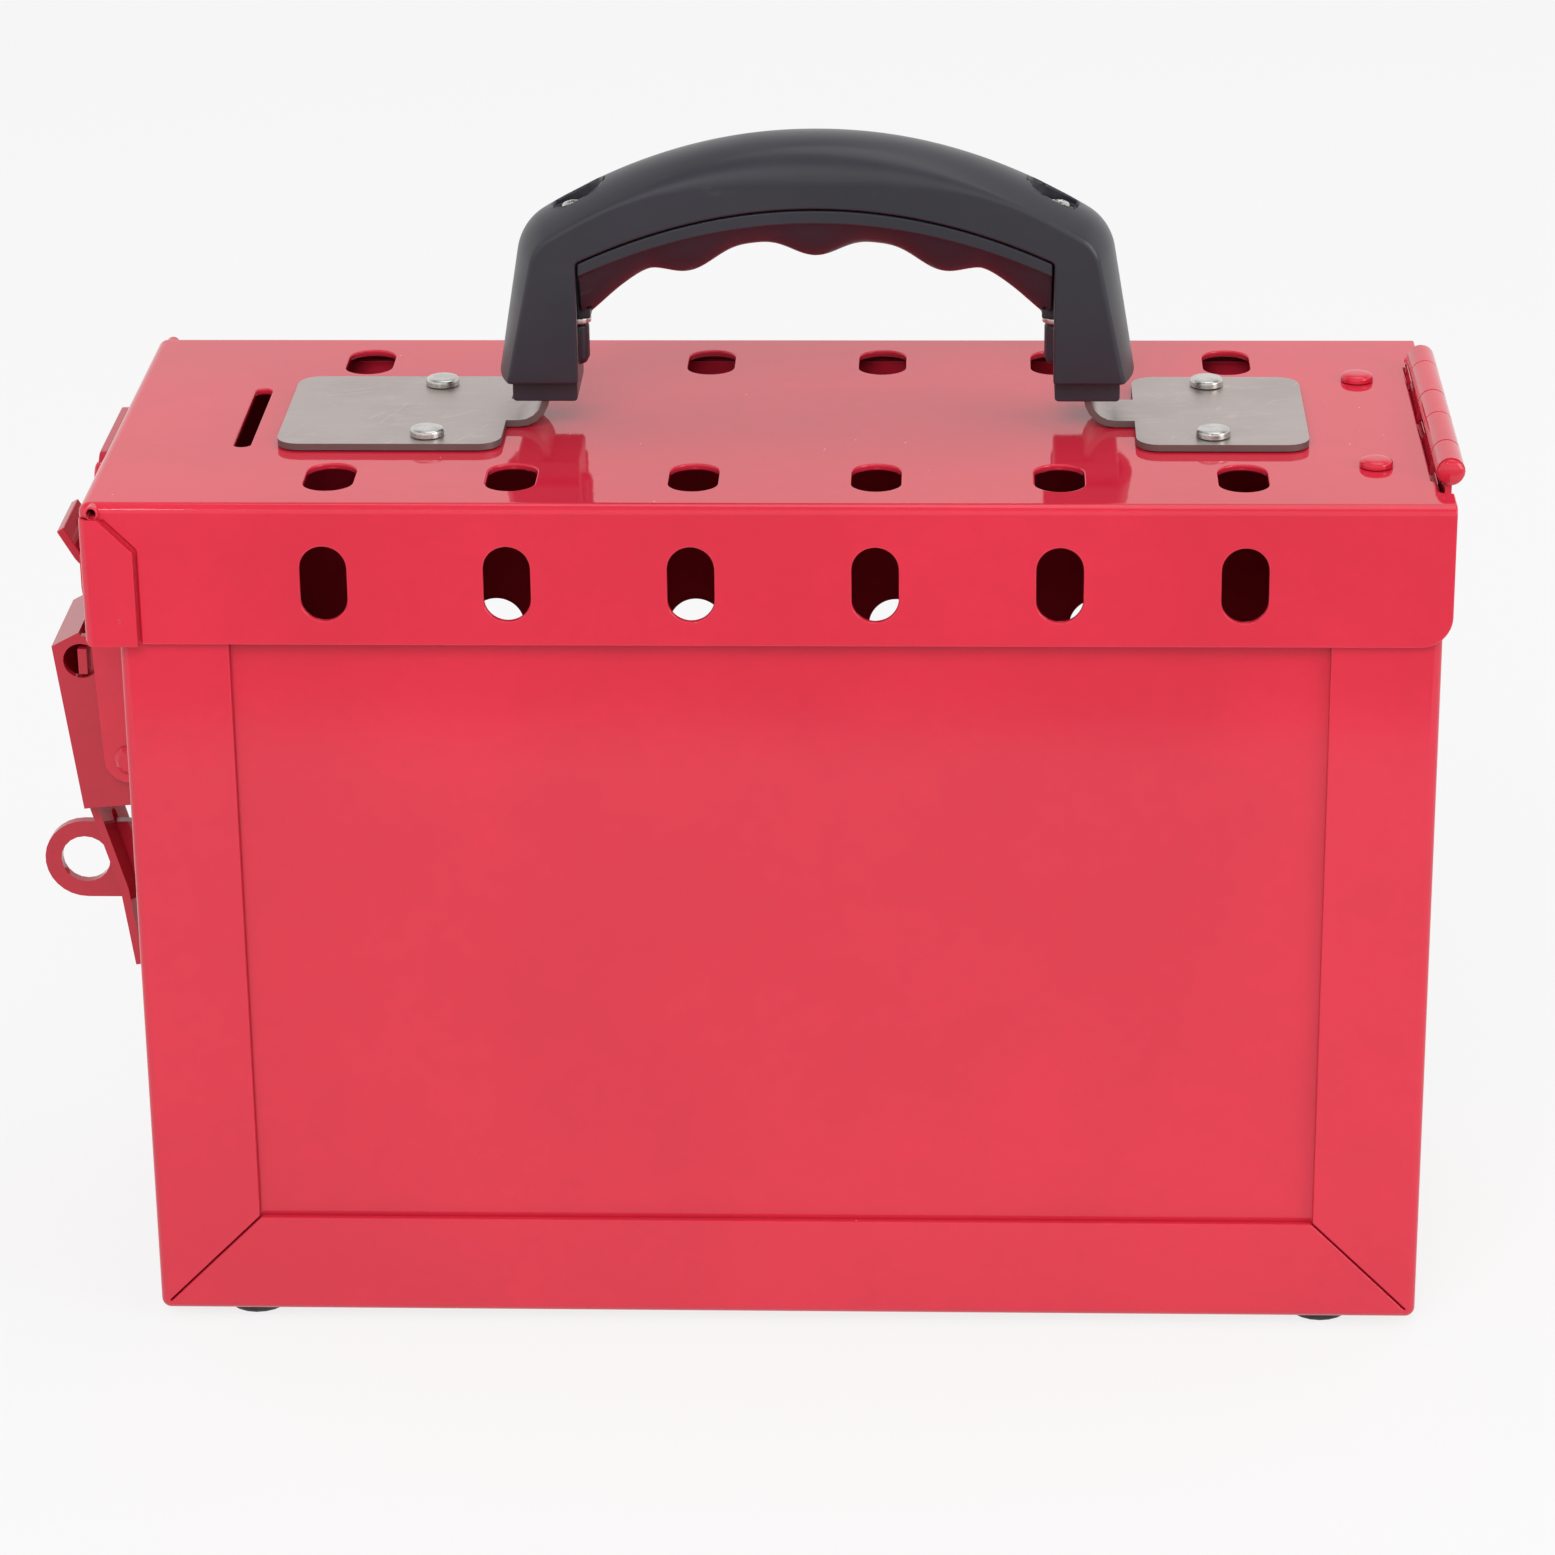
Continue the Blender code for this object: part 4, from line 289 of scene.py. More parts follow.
def powder_coat(f, shade):
    """Glossy red powder coat with orange peel, slow waves, dust and fine scuffs."""
    s = settings().coat
    n = f.net
    up = f.upward()
    # For the latch the colour is darkened here by painted shade
    colour = tinted(s.colour, shade)
    cloud = n.noise(f.place, 16.0, 3.0, 0.55)
    fine = n.noise(f.place, 260.0, 2.0, 0.6)
    base = n.mix(n.smooth(cloud * 0.8 + fine * 0.2, 0.35, 0.68), tinted(colour, 0.90), colour)
    dust_where = n.smooth(n.noise(f.place, 38.0, 3.0), 0.54, 0.64)
    dust = n.clamp((n.cells(f.place, 230.0) < 0.045) * dust_where * n.smooth(up, 0.2, 0.9))
    speck = n.clamp((n.cells(f.place, 95.0) < 0.016) * n.smooth(n.noise(f.place, 21.0), 0.50, 0.56))
    base = n.mix(dust * 0.55, n.mix(speck * 0.75, base, SPECK), DUST)
    haze = n.noise(f.place, 42.0, 4.0, 0.6)
    scuff = n.noise(f.place, 60.0, 5.0, 0.65, (1.0, 0.25, 1.0))
    rough = (s.roughness + 0.03 * n.smooth(haze, 0.45, 0.75) + 0.08 * n.smooth(scuff, 0.62, 0.78)
             + 0.3 * dust)
    peel = n.noise(f.place, s.peel_scale)
    wave = n.noise(f.place, 30.0, 1.0, 0.4)
    return f.set(Base_Color=base, Roughness=rough, Normal=f.bumps((peel, s.peel_depth), (wave, 0.06 * MM)))


@made_once("red_powder_coat", Specular_IOR_Level=0.5, IOR=1.5)
def red_coat(f):
    return powder_coat(f, 1.0)


# The same red coat darkened with painted shade, for the latch's pieces
@made_once("latch_powder_coat_painted_shade", Specular_IOR_Level=0.5, IOR=1.5)
def latch_coat_painted_shade(f):
    return powder_coat(f, settings().coat.latch_painted_shade)


def scratches(n, place, turn, density):
    """Fine straight marks at one slant, 1 in a mark and 0 beside it."""
    along = (cos(turn), sin(turn), 0.0)
    across = (-sin(turn), cos(turn), 0.0)
    run = n.vector("DOT_PRODUCT", place, along, 1)
    side = n.vector("DOT_PRODUCT", place, across, 1)
    spot = n.add("ShaderNodeCombineXYZ", {0: run * 0.12, 1: side, 2: run * 0.02})
    lines = n.cells(spot, density, "DISTANCE_TO_EDGE")
    where = n.smooth(n.noise(place, 75.0 + density, 2.0), 0.56, 0.62)
    return (lines < 0.010) * where


@made_once("scuffed_steel", Metallic=0.85)
def bracket_steel(f):
    """Warm grey steel with long scratches and stains, its sides rougher and darkened with painted shade."""
    s = settings().steel
    n = f.net
    stain = n.noise(f.place, 55.0, 5.0, 0.6)
    brush = n.noise(f.place, 900.0, 3.0, 0.6, (0.05, 1.0, 1.0))
    rub = n.noise(f.place, 260.0, 4.0, 0.7, (0.5, 1.0, 1.0))
    scratch = n.clamp(scratches(n, f.place, 0.35, 130.0) + scratches(n, f.place, 1.15, 90.0))
    pit = n.clamp((n.cells(f.place, 330.0) < 0.10) * n.smooth(n.noise(f.place, 50.0), 0.52, 0.60))
    # Painted shade: faces that don't look up are darkened, and also made rougher
    side_painted_shade = n.smooth(n.math("ABSOLUTE", f.upward()), 0.75, 0.35)
    base = n.mix(n.smooth(stain, 0.35, 0.65), tinted(s.colour, 0.86), tuple(s.colour))
    for where, share in ((n.smooth(rub, 0.50, 0.72) * 0.5, 1.10), (pit * 0.45, 0.45), (scratch * 0.5, 1.35),
                         (side_painted_shade * 0.8, 0.30)):
        base = n.mix(where, base, tinted(s.colour, share))
    rough = (s.roughness + 0.06 * n.smooth(stain, 0.4, 0.65) - 0.05 * n.smooth(brush, 0.5, 0.7)
             + 0.12 * scratch + 0.15 * side_painted_shade)
    normal = f.bumps((brush, 0.006 * MM), (rub, 0.008 * MM), (1 - scratch, 0.010 * MM))
    return f.set(Base_Color=base, Roughness=rough, Normal=normal)


@made_once("plated_steel", Metallic=0.95)
def bright_steel(f):
    """Plated steel of rivets and screws."""
    n = f.net
    spot = n.noise(f.place, 380.0, 4.0, 0.6)
    base = n.mix(n.smooth(spot, 0.35, 0.65), (0.50, 0.49, 0.46), (0.68, 0.67, 0.64))
    rough = 0.22 + 0.16 * n.smooth(spot, 0.4, 0.7)
    return f.set(Base_Color=base, Roughness=rough, Normal=f.bumps((spot, 0.02 * MM)))


@made_once("charcoal_plastic", Specular_IOR_Level=0.5)
def handle_plastic(f):
    """Charcoal plastic, satin, with a fine moulded grain and light rubbing."""
    s = settings().handle
    n = f.net
    cloud = n.noise(f.place, 24.0, 4.0, 0.6)
    grain = n.noise(f.place, 1500.0, 2.0, 0.6)
    rub = n.noise(f.place, 180.0, 5.0, 0.7, (0.35, 1.0, 0.6))
    base = n.mix(n.smooth(cloud, 0.35, 0.7) * 0.5, tuple(s.colour), tinted(s.colour, 1.45))
    base = n.mix(n.smooth(rub, 0.66, 0.78) * 0.35, base, (0.10, 0.10, 0.11))
    rough = s.roughness + 0.10 * n.smooth(cloud, 0.4, 0.7) + 0.08 * n.smooth(rub, 0.6, 0.75)
    return f.set(Base_Color=base, Roughness=rough, Normal=f.bumps((grain, 0.012 * MM)))


@made_once("black_rubber")
def foot_rubber(f):
    """Black rubber, dull, with a little dust."""
    n = f.net
    cloud = n.noise(f.place, 160.0, 4.0, 0.6)
    base = n.mix(n.smooth(cloud, 0.4, 0.75), (0.016, 0.016, 0.017), (0.045, 0.043, 0.042))
    return f.set(Base_Color=base, Roughness=0.55 + 0.2 * cloud, Normal=f.bumps((cloud, 0.03 * MM)))


def dress(node, finish):
    """Give a kept solid its finish."""
    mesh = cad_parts[node].data
    mesh.materials.clear()
    mesh.materials.append(finish)


# Stage

class LOCKBOX_OT_stage(bpy.types.Operator):
    """Pale floor, soft lights, white surroundings and the camera of the photograph"""

    bl_idname = "lockbox.stage"
    bl_label = "Stage"

    def execute(self, context):
        s = settings().stage
        context.scene.view_settings.view_transform = "Standard"
        build_floor(s)
        build_sky(context.scene, s)
        build_lights()
        build_camera(context.scene, s)
        return {"FINISHED"}


FLOOR_HALF = 4.0
WHITE = (1, 1, 1, 1)


def emptied(tree):
    tree.nodes.clear()
    return Net(tree)


def glow(n, kind, strength):
    """White light of this strength, from an emission or a background node."""
    return n.add("ShaderNode" + kind, {"Color": WHITE, "Strength": strength})


def blend(n, share, first, second):
    return n.add("ShaderNodeMixShader", {0: share, 1: first, 2: second})


def build_floor(s):
    """A white floor, paler to the camera than to the lights and darker in front in reflections."""
    mesh = bpy.data.meshes.new("floor")
    mesh.from_pydata([(x, y, 0) for x, y in rectangle(-FLOOR_HALF, FLOOR_HALF, -FLOOR_HALF, FLOOR_HALF)], [],
                     [(0, 1, 2, 3)])
    floor = link("floor", mesh)
    material = bpy.data.materials.new("floor_paint")
    material.use_nodes = True
    n = emptied(material.node_tree)
    path = n.outputs(n.add("ShaderNodeLightPath"))
    place = n.add("ShaderNodeTexCoord", output=3)
    near = n.smooth(n.split(place)[1] + 0.012 * n.noise(place, 9.0, 2.0), -0.36, -0.30)
    mirror = glow(n, "Emission", 0.45 + 0.48 * near)
    paint = n.add("ShaderNodeBsdfDiffuse", {"Color": (0.86, 0.86, 0.86, 1)})
    shown = blend(n, path["Is Camera Ray"] * 0.86, paint, glow(n, "Emission", s.backdrop))
    n.add("ShaderNodeOutputMaterial", {0: blend(n, path["Is Glossy Ray"], shown, mirror)})
    mesh.materials.append(material)


def build_sky(scene, s):
    """White to the camera and in reflections, less so overhead, and an even light for the rest."""
    world = bpy.data.worlds.new("studio")
    world.use_nodes = True
    scene.world = world
    n = emptied(world.node_tree)
    path = n.outputs(n.add("ShaderNodeLightPath"))
    seen = n.clamp(path["Is Camera Ray"] + path["Is Glossy Ray"] + path["Is Transmission Ray"])
    overhead = n.smooth(n.split(n.add("ShaderNodeTexCoord"))[2], 0.50, 0.85) * path["Is Glossy Ray"]
    white = glow(n, "Background", s.backdrop - s.dim_overhead * overhead)
    n.add("ShaderNodeOutputWorld", {0: blend(n, seen, glow(n, "Background", s.sky), white)})


LIGHTS = (
    # name, place, aimed at, width, length, watts, shows in reflections
    ("softbox_front", (-0.25, -1.30, 1.15), (0.0, 0.0, 0.10), 0.9, 0.9, 14.0, False),
    ("softbox_top", (0.25, 0.15, 1.35), (0.0, 0.0, 0.10), 1.1, 0.8, 4.0, True),
    ("softbox_right", (1.3, -0.7, 0.7), (0.0, 0.0, 0.10), 0.7, 0.9, 6.0, True),
    ("glint", (-0.42, -1.25, 1.20), (0.0, 0.0, 0.10), 0.16, 0.10, 0.9, True),
)


def build_lights():
    for name, place, target, width, length, watts, mirrored_too in LIGHTS:
        lamp = bpy.data.lights.new(name, "AREA")
        lamp.shape = "RECTANGLE"
        lamp.size = width
        lamp.size_y = length
        lamp.energy = watts
        item = bpy.data.objects.new(name, lamp)
        item.location = place
        item.visible_glossy = mirrored_too
        item.rotation_mode = "QUATERNION"
        item.rotation_quaternion = (Vector(target) - Vector(place)).to_track_quat("-Z", "Y")
        bpy.context.scene.collection.objects.link(item)


def build_camera(scene, s):
    """The camera solved from the photograph."""
    data = bpy.data.cameras.new("camera")
    data.sensor_width = SENSOR_MM
    data.lens = s.focal_pixels * data.sensor_width / PHOTO_SIDE
    data.clip_start = 0.05
    data.clip_end = 20.0
    camera = bpy.data.objects.new("camera", data)
    yaw, pitch, roll = s.camera_yaw, s.camera_pitch, s.camera_roll
    ahead = Vector((-sin(yaw) * cos(pitch), cos(yaw) * cos(pitch), -sin(pitch)))
    right = Vector((cos(yaw), sin(yaw), 0))
    above = right.cross(ahead)
    turned_right = cos(roll) * right + sin(roll) * above
    turned_above = -sin(roll) * right + cos(roll) * above
    turn = Matrix((turned_right, turned_above, -ahead)).transposed()
    camera.matrix_world = Matrix.Translation(s.camera_place) @ turn.to_4x4()
    scene.collection.objects.link(camera)
    scene.camera = camera


# Outlines and solids

MERGE = 0.002 * MM
FLAT_ANGLE, SHARP_ANGLE = radians(0.3), radians(50)
NORMAL_WEIGHT = 60


def arc(cx, cy, radius, start, end, steps=12):
    """Points on an arc from the start angle to the end angle, both included."""
    angles = [start + (end - start) * i / steps for i in range(steps + 1)]
    return [(cx + radius * cos(t), cy + radius * sin(t)) for t in angles]


def circle(cx, cy, radius, sides=48):
    return arc(cx, cy, radius, 0, 2 * pi * (sides - 1) / sides, sides - 1)


def rectangle(x0, x1, y0, y1):
    return [(x0, y0), (x1, y0), (x1, y1), (x0, y1)]


def rounded_rectangle(x0, x1, y0, y1, radius, steps=10):
    return (arc(x1 - radius, y0 + radius, radius, -pi / 2, 0, steps)
            + arc(x1 - radius, y1 - radius, radius, 0, pi / 2, steps)
            + arc(x0 + radius, y1 - radius, radius, pi / 2, pi, steps)
            + arc(x0 + radius, y0 + radius, radius, pi, 3 * pi / 2, steps))


def obround(cx, cy, width, height, steps=20):
    """A slot with round ends, along the longer of its two sizes."""
    radius = min(width, height) / 2
    run = max(width, height) / 2 - radius
    if height > width:
        return (arc(cx, cy + run, radius, 0, pi, steps)
                + arc(cx, cy - run, radius, pi, 2 * pi, steps))
    return (arc(cx + run, cy, radius, -pi / 2, pi / 2, steps)
            + arc(cx - run, cy, radius, pi / 2, 3 * pi / 2, steps))


def directions(points):
    """The direction of a line at each of its points."""
    last = len(points) - 1
    return [(Vector(points[min(i + 1, last)]) - Vector(points[max(i - 1, 0)])).normalized()
            for i in range(last + 1)]


def strip(points, thickness):
    """The outline of a sheet of this thickness along a centre line."""
    shifts = [Vector((-way.y, way.x)) * thickness / 2 for way in directions(points)]
    left = [tuple(Vector(point) + shift) for point, shift in zip(points, shifts)]
    right = [tuple(Vector(point) - shift) for point, shift in zip(points, shifts)]
    return left + right[::-1]


def link(name, mesh):
    mesh.name = name
    item = bpy.data.objects.new(name, mesh)
    bpy.context.scene.collection.objects.link(item)
    return item


@contextmanager
def reworked(mesh):
    """The mesh opened for editing, and written back."""
    shape = bmesh.new()
    shape.from_mesh(mesh)
    yield shape
    shape.to_mesh(mesh)
    shape.free()


def unchecked(name, shape):
    """An object from a bmesh as it is."""
    mesh = bpy.data.meshes.new(name)
    shape.to_mesh(mesh)
    shape.free()
    return link(name, mesh)


def from_shape(name, shape):
    """An object from a bmesh, with its doubles merged and its faces pointing outwards."""
    bmesh.ops.remove_doubles(shape, verts=shape.verts, dist=MERGE / 2)
    bmesh.ops.recalc_face_normals(shape, faces=shape.faces)
    return unchecked(name, shape)


TURNS = {"XY": Matrix(((1, 0, 0), (0, 1, 0), (0, 0, 1))),
         "XZ": Matrix(((1, 0, 0), (0, 0, -1), (0, 1, 0))),
         "YZ": Matrix(((0, 0, 1), (1, 0, 0), (0, 1, 0)))}


def slab(name, outlines, plane, low, high):
    """A flat outline, with any holes after it, given a thickness from low to high across its plane."""
    curve = bpy.data.curves.new(name, "CURVE")
    curve.dimensions = "2D"
    curve.fill_mode = "BOTH"
    curve.extrude = (high - low) / 2
    for outline in outlines:
        spline = curve.splines.new("POLY")
        spline.points.add(len(outline) - 1)
        for point, (x, y) in zip(spline.points, outline):
            point.co = (x, y, 0, 1)
        spline.use_cyclic_u = True
    guide = bpy.data.objects.new(name, curve)
    bpy.context.scene.collection.objects.link(guide)
    bpy.context.view_layer.update()
    mesh = bpy.data.meshes.new_from_object(guide.evaluated_get(bpy.context.evaluated_depsgraph_get()))
    bpy.data.objects.remove(guide, do_unlink=True)
    middle = (low + high) / 2 * (-1 if plane == "XZ" else 1)
    mesh.transform(Matrix.Translation((0, 0, middle)))
    mesh.transform(TURNS[plane].to_4x4())
    shape = bmesh.new()
    shape.from_mesh(mesh)
    bpy.data.meshes.remove(mesh)
    return from_shape(name, shape)


def side_slab(name, outline, side, near, far):
    """A slab across the box on its front (-1) or its back (1), from near to far of its middle plane."""
    return slab(name, [outline], "XZ", *sorted((side * near, side * far)))


def through(name, outline, half):
    """A cutter that passes through everything within half of the box's middle plane."""
    return slab(name, [outline], "XZ", -half - PAST, half + PAST)


def rod_profile(radius, top, bottom):
    return [(0, top), (radius, top), (radius, bottom), (0, bottom)]


def aimed(axis):
    """The turn from straight up to an axis."""
    return Vector((0, 0, 1)).rotation_difference(Vector(axis))


def applied(item):
    """The same piece with its modifiers worked into its mesh."""
    bpy.context.view_layer.update()
    mesh = bpy.data.meshes.new_from_object(item.evaluated_get(bpy.context.evaluated_depsgraph_get()))
    old = item.data
    item.modifiers.clear()
    item.data = mesh
    bpy.data.meshes.remove(old)
    return item


def joined(name, items):
    """Several solids as one mesh of separate bodies."""
    shape = bmesh.new()
    for item in items:
        shape.from_mesh(item.data)
        bpy.data.objects.remove(item, do_unlink=True)
    return unchecked(name, shape)


def carved(item, *others, operation="DIFFERENCE"):
    """The piece without the others, or with them."""
    for other in others:
        modifier = item.modifiers.new(operation.lower(), "BOOLEAN")
        modifier.operation = operation
        modifier.solver = "EXACT"
        modifier.object = other
    applied(item)
    for other in others:
        bpy.data.objects.remove(other, do_unlink=True)
    return item


def fused(item, *others):
    return carved(item, *others, operation="UNION")


def softened(item, width, segments=3, angle=radians(35), clamp=False, cuts=()):
    """Flat faces made whole, sharp edges rounded, any last cuts made sharp and the shading evened."""
    with reworked(item.data) as shape:
        bmesh.ops.remove_doubles(shape, verts=shape.verts, dist=MERGE)
        bmesh.ops.dissolve_limit(shape, angle_limit=FLAT_ANGLE, verts=shape.verts, edges=shape.edges)
    bevel = item.modifiers.new("soft_edges", "BEVEL")
    bevel.width = width
    bevel.segments = segments
    bevel.limit_method = "ANGLE"
    bevel.angle_limit = angle
    bevel.use_clamp_overlap = clamp
    bevel.miter_outer = "MITER_ARC"
    applied(item)
    if cuts:
        carved(item, *cuts)
    item.data.shade_smooth()
    if cuts:
        item.data.set_sharp_from_angle(angle=SHARP_ANGLE)
    even = item.modifiers.new("even_shading", "WEIGHTED_NORMAL")
    even.weight = NORMAL_WEIGHT
    even.keep_sharp = bool(cuts)
    return applied(item)


def node_copy(node, name):
    """A free copy of a solid's mesh, its loose triangles merged."""
    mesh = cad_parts[node].data.copy()
    with reworked(mesh) as shape:
        bmesh.ops.remove_doubles(shape, verts=shape.verts, dist=MERGE)
    return link(name, mesh)


def placed(item, finish, slot, body, *nodes):
    """Finish the piece, hang it on its body and hide the solids that it stands for."""
    item.data.materials.clear()
    item.data.materials.append(finish)
    for face in item.data.polygons:
        face.material_index = 0
    if nodes:
        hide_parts(*nodes)
    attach(item, body)
    return item


# Places taken from the solids

def low(node):
    return Vector(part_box(node)[0])


def high(node):
    return Vector(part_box(node)[1])


def middle(node):
    return (low(node) + high(node)) / 2


LID_LOW, LID_HIGH = low("lid_shell"), high("lid_shell")
CASE_LOW, CASE_HIGH = low("case_wrap"), high("case_wrap")
TOP_Z = LID_HIGH.z
SHEET = 1.2 * MM
BEND = 1.8 * MM
SEAT = 0.3 * MM
TAB_STEP = 1.2 * MM
LID_HALF = LID_HIGH.y - TAB_STEP
HOLE_START, HOLE_PITCH, HOLE_Y = 41.25 * MM, 31.3 * MM, 32.4 * MM
HOLE_XS = [LID_LOW.x + HOLE_START + i * HOLE_PITCH for i in range(6)]
LID_HOLE, SKIRT_SLOT, PANEL_SLOT = (8.5 * MM, 14.3 * MM), (8.0 * MM, 13.4 * MM), (10.0 * MM, 17.0 * MM)
SLOT_Z = TOP_Z - 14.2 * MM
KEY_SLOT_X, KEY_SLOT = LID_LOW.x + 23.8 * MM, (3.0 * MM, 32.8 * MM)
HINGE_Y = middle("hinge_leaf_case").y


BEND_STEPS = 8


def open_box(name, corner, far_corner, y_half, missing):
    """A folded sheet box without the faces that point in the missing directions."""
    x0, x1, z0, z1 = corner.x, far_corner.x, corner.z, far_corner.z
    shape = bmesh.new()
    bmesh.ops.create_cube(shape, size=1.0)
    bmesh.ops.scale(shape, vec=(x1 - x0, 2 * y_half, z1 - z0), verts=shape.verts)
    bmesh.ops.translate(shape, vec=((x0 + x1) / 2, 0, (z0 + z1) / 2), verts=shape.verts)
    shape.normal_update()
    gone = [face for face in shape.faces if any(face.normal.dot(Vector(side)) > 0.9 for side in missing)]
    bmesh.ops.delete(shape, geom=gone, context="FACES")
    folds = [edge for edge in shape.edges if len(edge.link_faces) == 2]
    bmesh.ops.bevel(shape, geom=folds, offset=BEND, segments=BEND_STEPS, profile=0.5, affect="EDGES")
    item = unchecked(name, shape)
    wall = item.modifiers.new("sheet", "SOLIDIFY")
    wall.thickness = SHEET
    wall.offset = -1
    wall.use_even_offset = True
    return applied(item)


# Lid

SKIRT_CORNER = 5.5 * MM
TAB_WIDTH, TAB_DROP, TAB_SHOULDER = 9.1 * MM, 2.45 * MM, 8.4 * MM
TAB_SINK = 0.6 * MM
RELIEF_RADIUS, RELIEF_FLOOR, GROOVE = 0.85 * MM, 1.5 * MM, 0.8 * MM
RELIEF_X, RELIEF_Z = LID_LOW.x + 2.45 * MM, TOP_Z - 1.35 * MM


def tab_line():
    """Outline of a tab of the latch end wall, from its lower left corner round to its upper left one."""
    left, right = LID_LOW.x, LID_LOW.x + TAB_WIDTH
    top, bottom = TOP_Z - TAB_DROP, LID_LOW.z
    return [(left, bottom + 0.8 * MM), (left + 0.8 * MM, bottom), (right, bottom),
            (right, TOP_Z - TAB_SHOULDER), (right - 5.9 * MM, top), (left, top)]


def end_tab(side):
    """Tab of the latch end wall, folded round on to a skirt, with its rounded bend."""
    left, radius, outer, inner = LID_LOW.x, 1.7 * MM, LID_HALF + TAB_STEP, LID_HALF - TAB_SINK
    plan = arc(left + radius, outer - radius, radius, pi / 2, pi)
    plan += [(left, inner), (left + TAB_WIDTH, inner), (left + TAB_WIDTH, outer)]
    tab = slab("tab", [[(x, side * y) for x, y in plan]], "XY", LID_LOW.z - PAST, TOP_Z + PAST)
    return carved(tab, through("outline", tab_line(), LID_HALF), operation="INTERSECT")


def side_turned(name, profile, x, out, z, side, sides=24):
    """A turned form whose axis points out of the front or the back."""
    return turned(name, profile, (x, side * out, z), (0, side, 0), sides)


def corner_collar(side):
    """Rolled edge round the relief hole where the lid's bends meet."""
    roll = [pi * i / 10 for i in range(6)]
    profile = [(0, 3.3 * MM)] + [((0.85 + 0.4 * sin(t)) * MM, (3.0 + 0.4 * cos(t)) * MM) for t in roll]
    return side_turned("collar", profile + [(1.25 * MM, 0), (0, 0)], RELIEF_X, LID_HALF - 2.3 * MM, RELIEF_Z,
                       side, 32)


def lid_corner(side):
    """The tab and the collar as one piece, with the relief hole's bore and a spot weld's dimple."""
    bore = side_slab("bore", obround(RELIEF_X, RELIEF_Z, 1.5 * MM, 1.9 * MM, 10), side, LID_HALF - PAST,
                     LID_HALF + PAST)
    weld = [(0, 1.0 * MM), (0.6 * MM, 1.0 * MM), (0.6 * MM, 0), (0.35 * MM, -0.14 * MM), (0, -0.2 * MM)]
    dimple = side_turned("dimple", weld, LID_LOW.x + 6.2 * MM, LID_HALF + TAB_STEP, LID_LOW.z + 4.7 * MM,
                         side)
    corner = carved(fused(end_tab(side), corner_collar(side)), bore, dimple)
    corner.name = corner.data.name = "lid_corner_" + ("back" if side > 0 else "front")
    return softened(corner, 0.1 * MM, 2)


def relief_hole(side):
    """Cutter for the round hole where the lid's bends meet."""
    rod = rod_profile(RELIEF_RADIUS, PAST, 0)
    return side_turned("relief", rod, RELIEF_X, LID_HALF - RELIEF_FLOOR, RELIEF_Z, side)


def tab_groove(side):
    """Groove in the skirt beside the tab's edge."""
    _, _, foot, shoulder, head, _ = tab_line()
    line = [(foot[0] + 0.1 * MM, foot[1] - PAST), (shoulder[0] + 0.1 * MM, shoulder[1] + 0.1 * MM),
            (head[0] + 0.6 * MM, head[1] - 0.45 * MM)]
    return side_slab("groove", strip(line, GROOVE), side, LID_HALF - TAB_SINK, LID_HALF + PAST)


def top_holes():
    """Cutters for the shackle holes of the top and the key slot."""
    holes = [obround(x, side * HOLE_Y, *LID_HOLE) for x in HOLE_XS for side in (-1, 1)]
    holes.append(obround(KEY_SLOT_X, 0, *KEY_SLOT))
    return joined("top_holes", [slab("hole", [hole], "XY", TOP_Z - PAST, TOP_Z + PAST) for hole in holes])


def skirt_slots():
    """Cutters for the shackle slots of both skirts."""
    slots = [obround(x, SLOT_Z, *SKIRT_SLOT) for x in HOLE_XS]
    return joined("slots", [through("slot", slot, LID_HALF) for slot in slots])


BARREL_HALF, BARREL_RADIUS, BARREL_OUT = 31.7 * MM, 3.1 * MM, 0.2 * MM
NOTCH_CORNER, NOTCH_PAST, NOTCH_STEP = 1.6 * MM, 6.0 * MM, 2.7 * MM


def hinge_notch():
    """The cut in the top for the hinge's barrel, with a shallower step at each of its ends."""
    notch, step = LID_HIGH.x - BARREL_OUT - BARREL_RADIUS, LID_HIGH.x - NOTCH_STEP
    end = BARREL_HALF + NOTCH_PAST
    line = [(notch, HINGE_Y - BARREL_HALF), (step, HINGE_Y - BARREL_HALF)]
    line += arc(step + NOTCH_CORNER, HINGE_Y + NOTCH_CORNER - end, NOTCH_CORNER, pi, 3 * pi / 2)
    line += [(LID_HIGH.x + PAST, HINGE_Y - end)]
    line += [(x, 2 * HINGE_Y - y) for x, y in reversed(line)]
    return slab("notch", [line], "XY", TOP_Z - SHEET - BEND, TOP_Z + PAST)


def skirt_corner():
    """The rounded lower corner of both skirts at the hinge end."""
    radius = SKIRT_CORNER
    right, bottom = LID_HIGH.x, LID_LOW.z
    line = arc(right - radius, bottom + radius, radius, -pi / 2, 0)
    line += [(right + PAST, bottom + radius), (right + PAST, bottom - PAST), (right - radius, bottom - PAST)]
    return through("corner", line, LID_HALF)


class LOCKBOX_OT_lid(bpy.types.Operator):
    """Folded lid with its end tabs, shackle holes, key slot and hinge notch"""

    bl_idname = "lockbox.lid"
    bl_label = "Lid"

    def execute(self, context):
        s = settings().shape
        lid = open_box("lid", LID_LOW, LID_HIGH, LID_HALF, [(0, 0, -1), (1, 0, 0)])
        carved(lid, top_holes(), skirt_slots(), hinge_notch(), skirt_corner(), tab_groove(-1), tab_groove(1))
        softened(lid, s.edge, cuts=(relief_hole(-1), relief_hole(1)))
        placed(lid, red_coat(), "red_coat", "lid", "lid_shell")
        for side in (-1, 1):
            placed(lid_corner(side), red_coat(), "red_coat", "lid", "lid_shell")
        return {"FINISHED"}


# Case

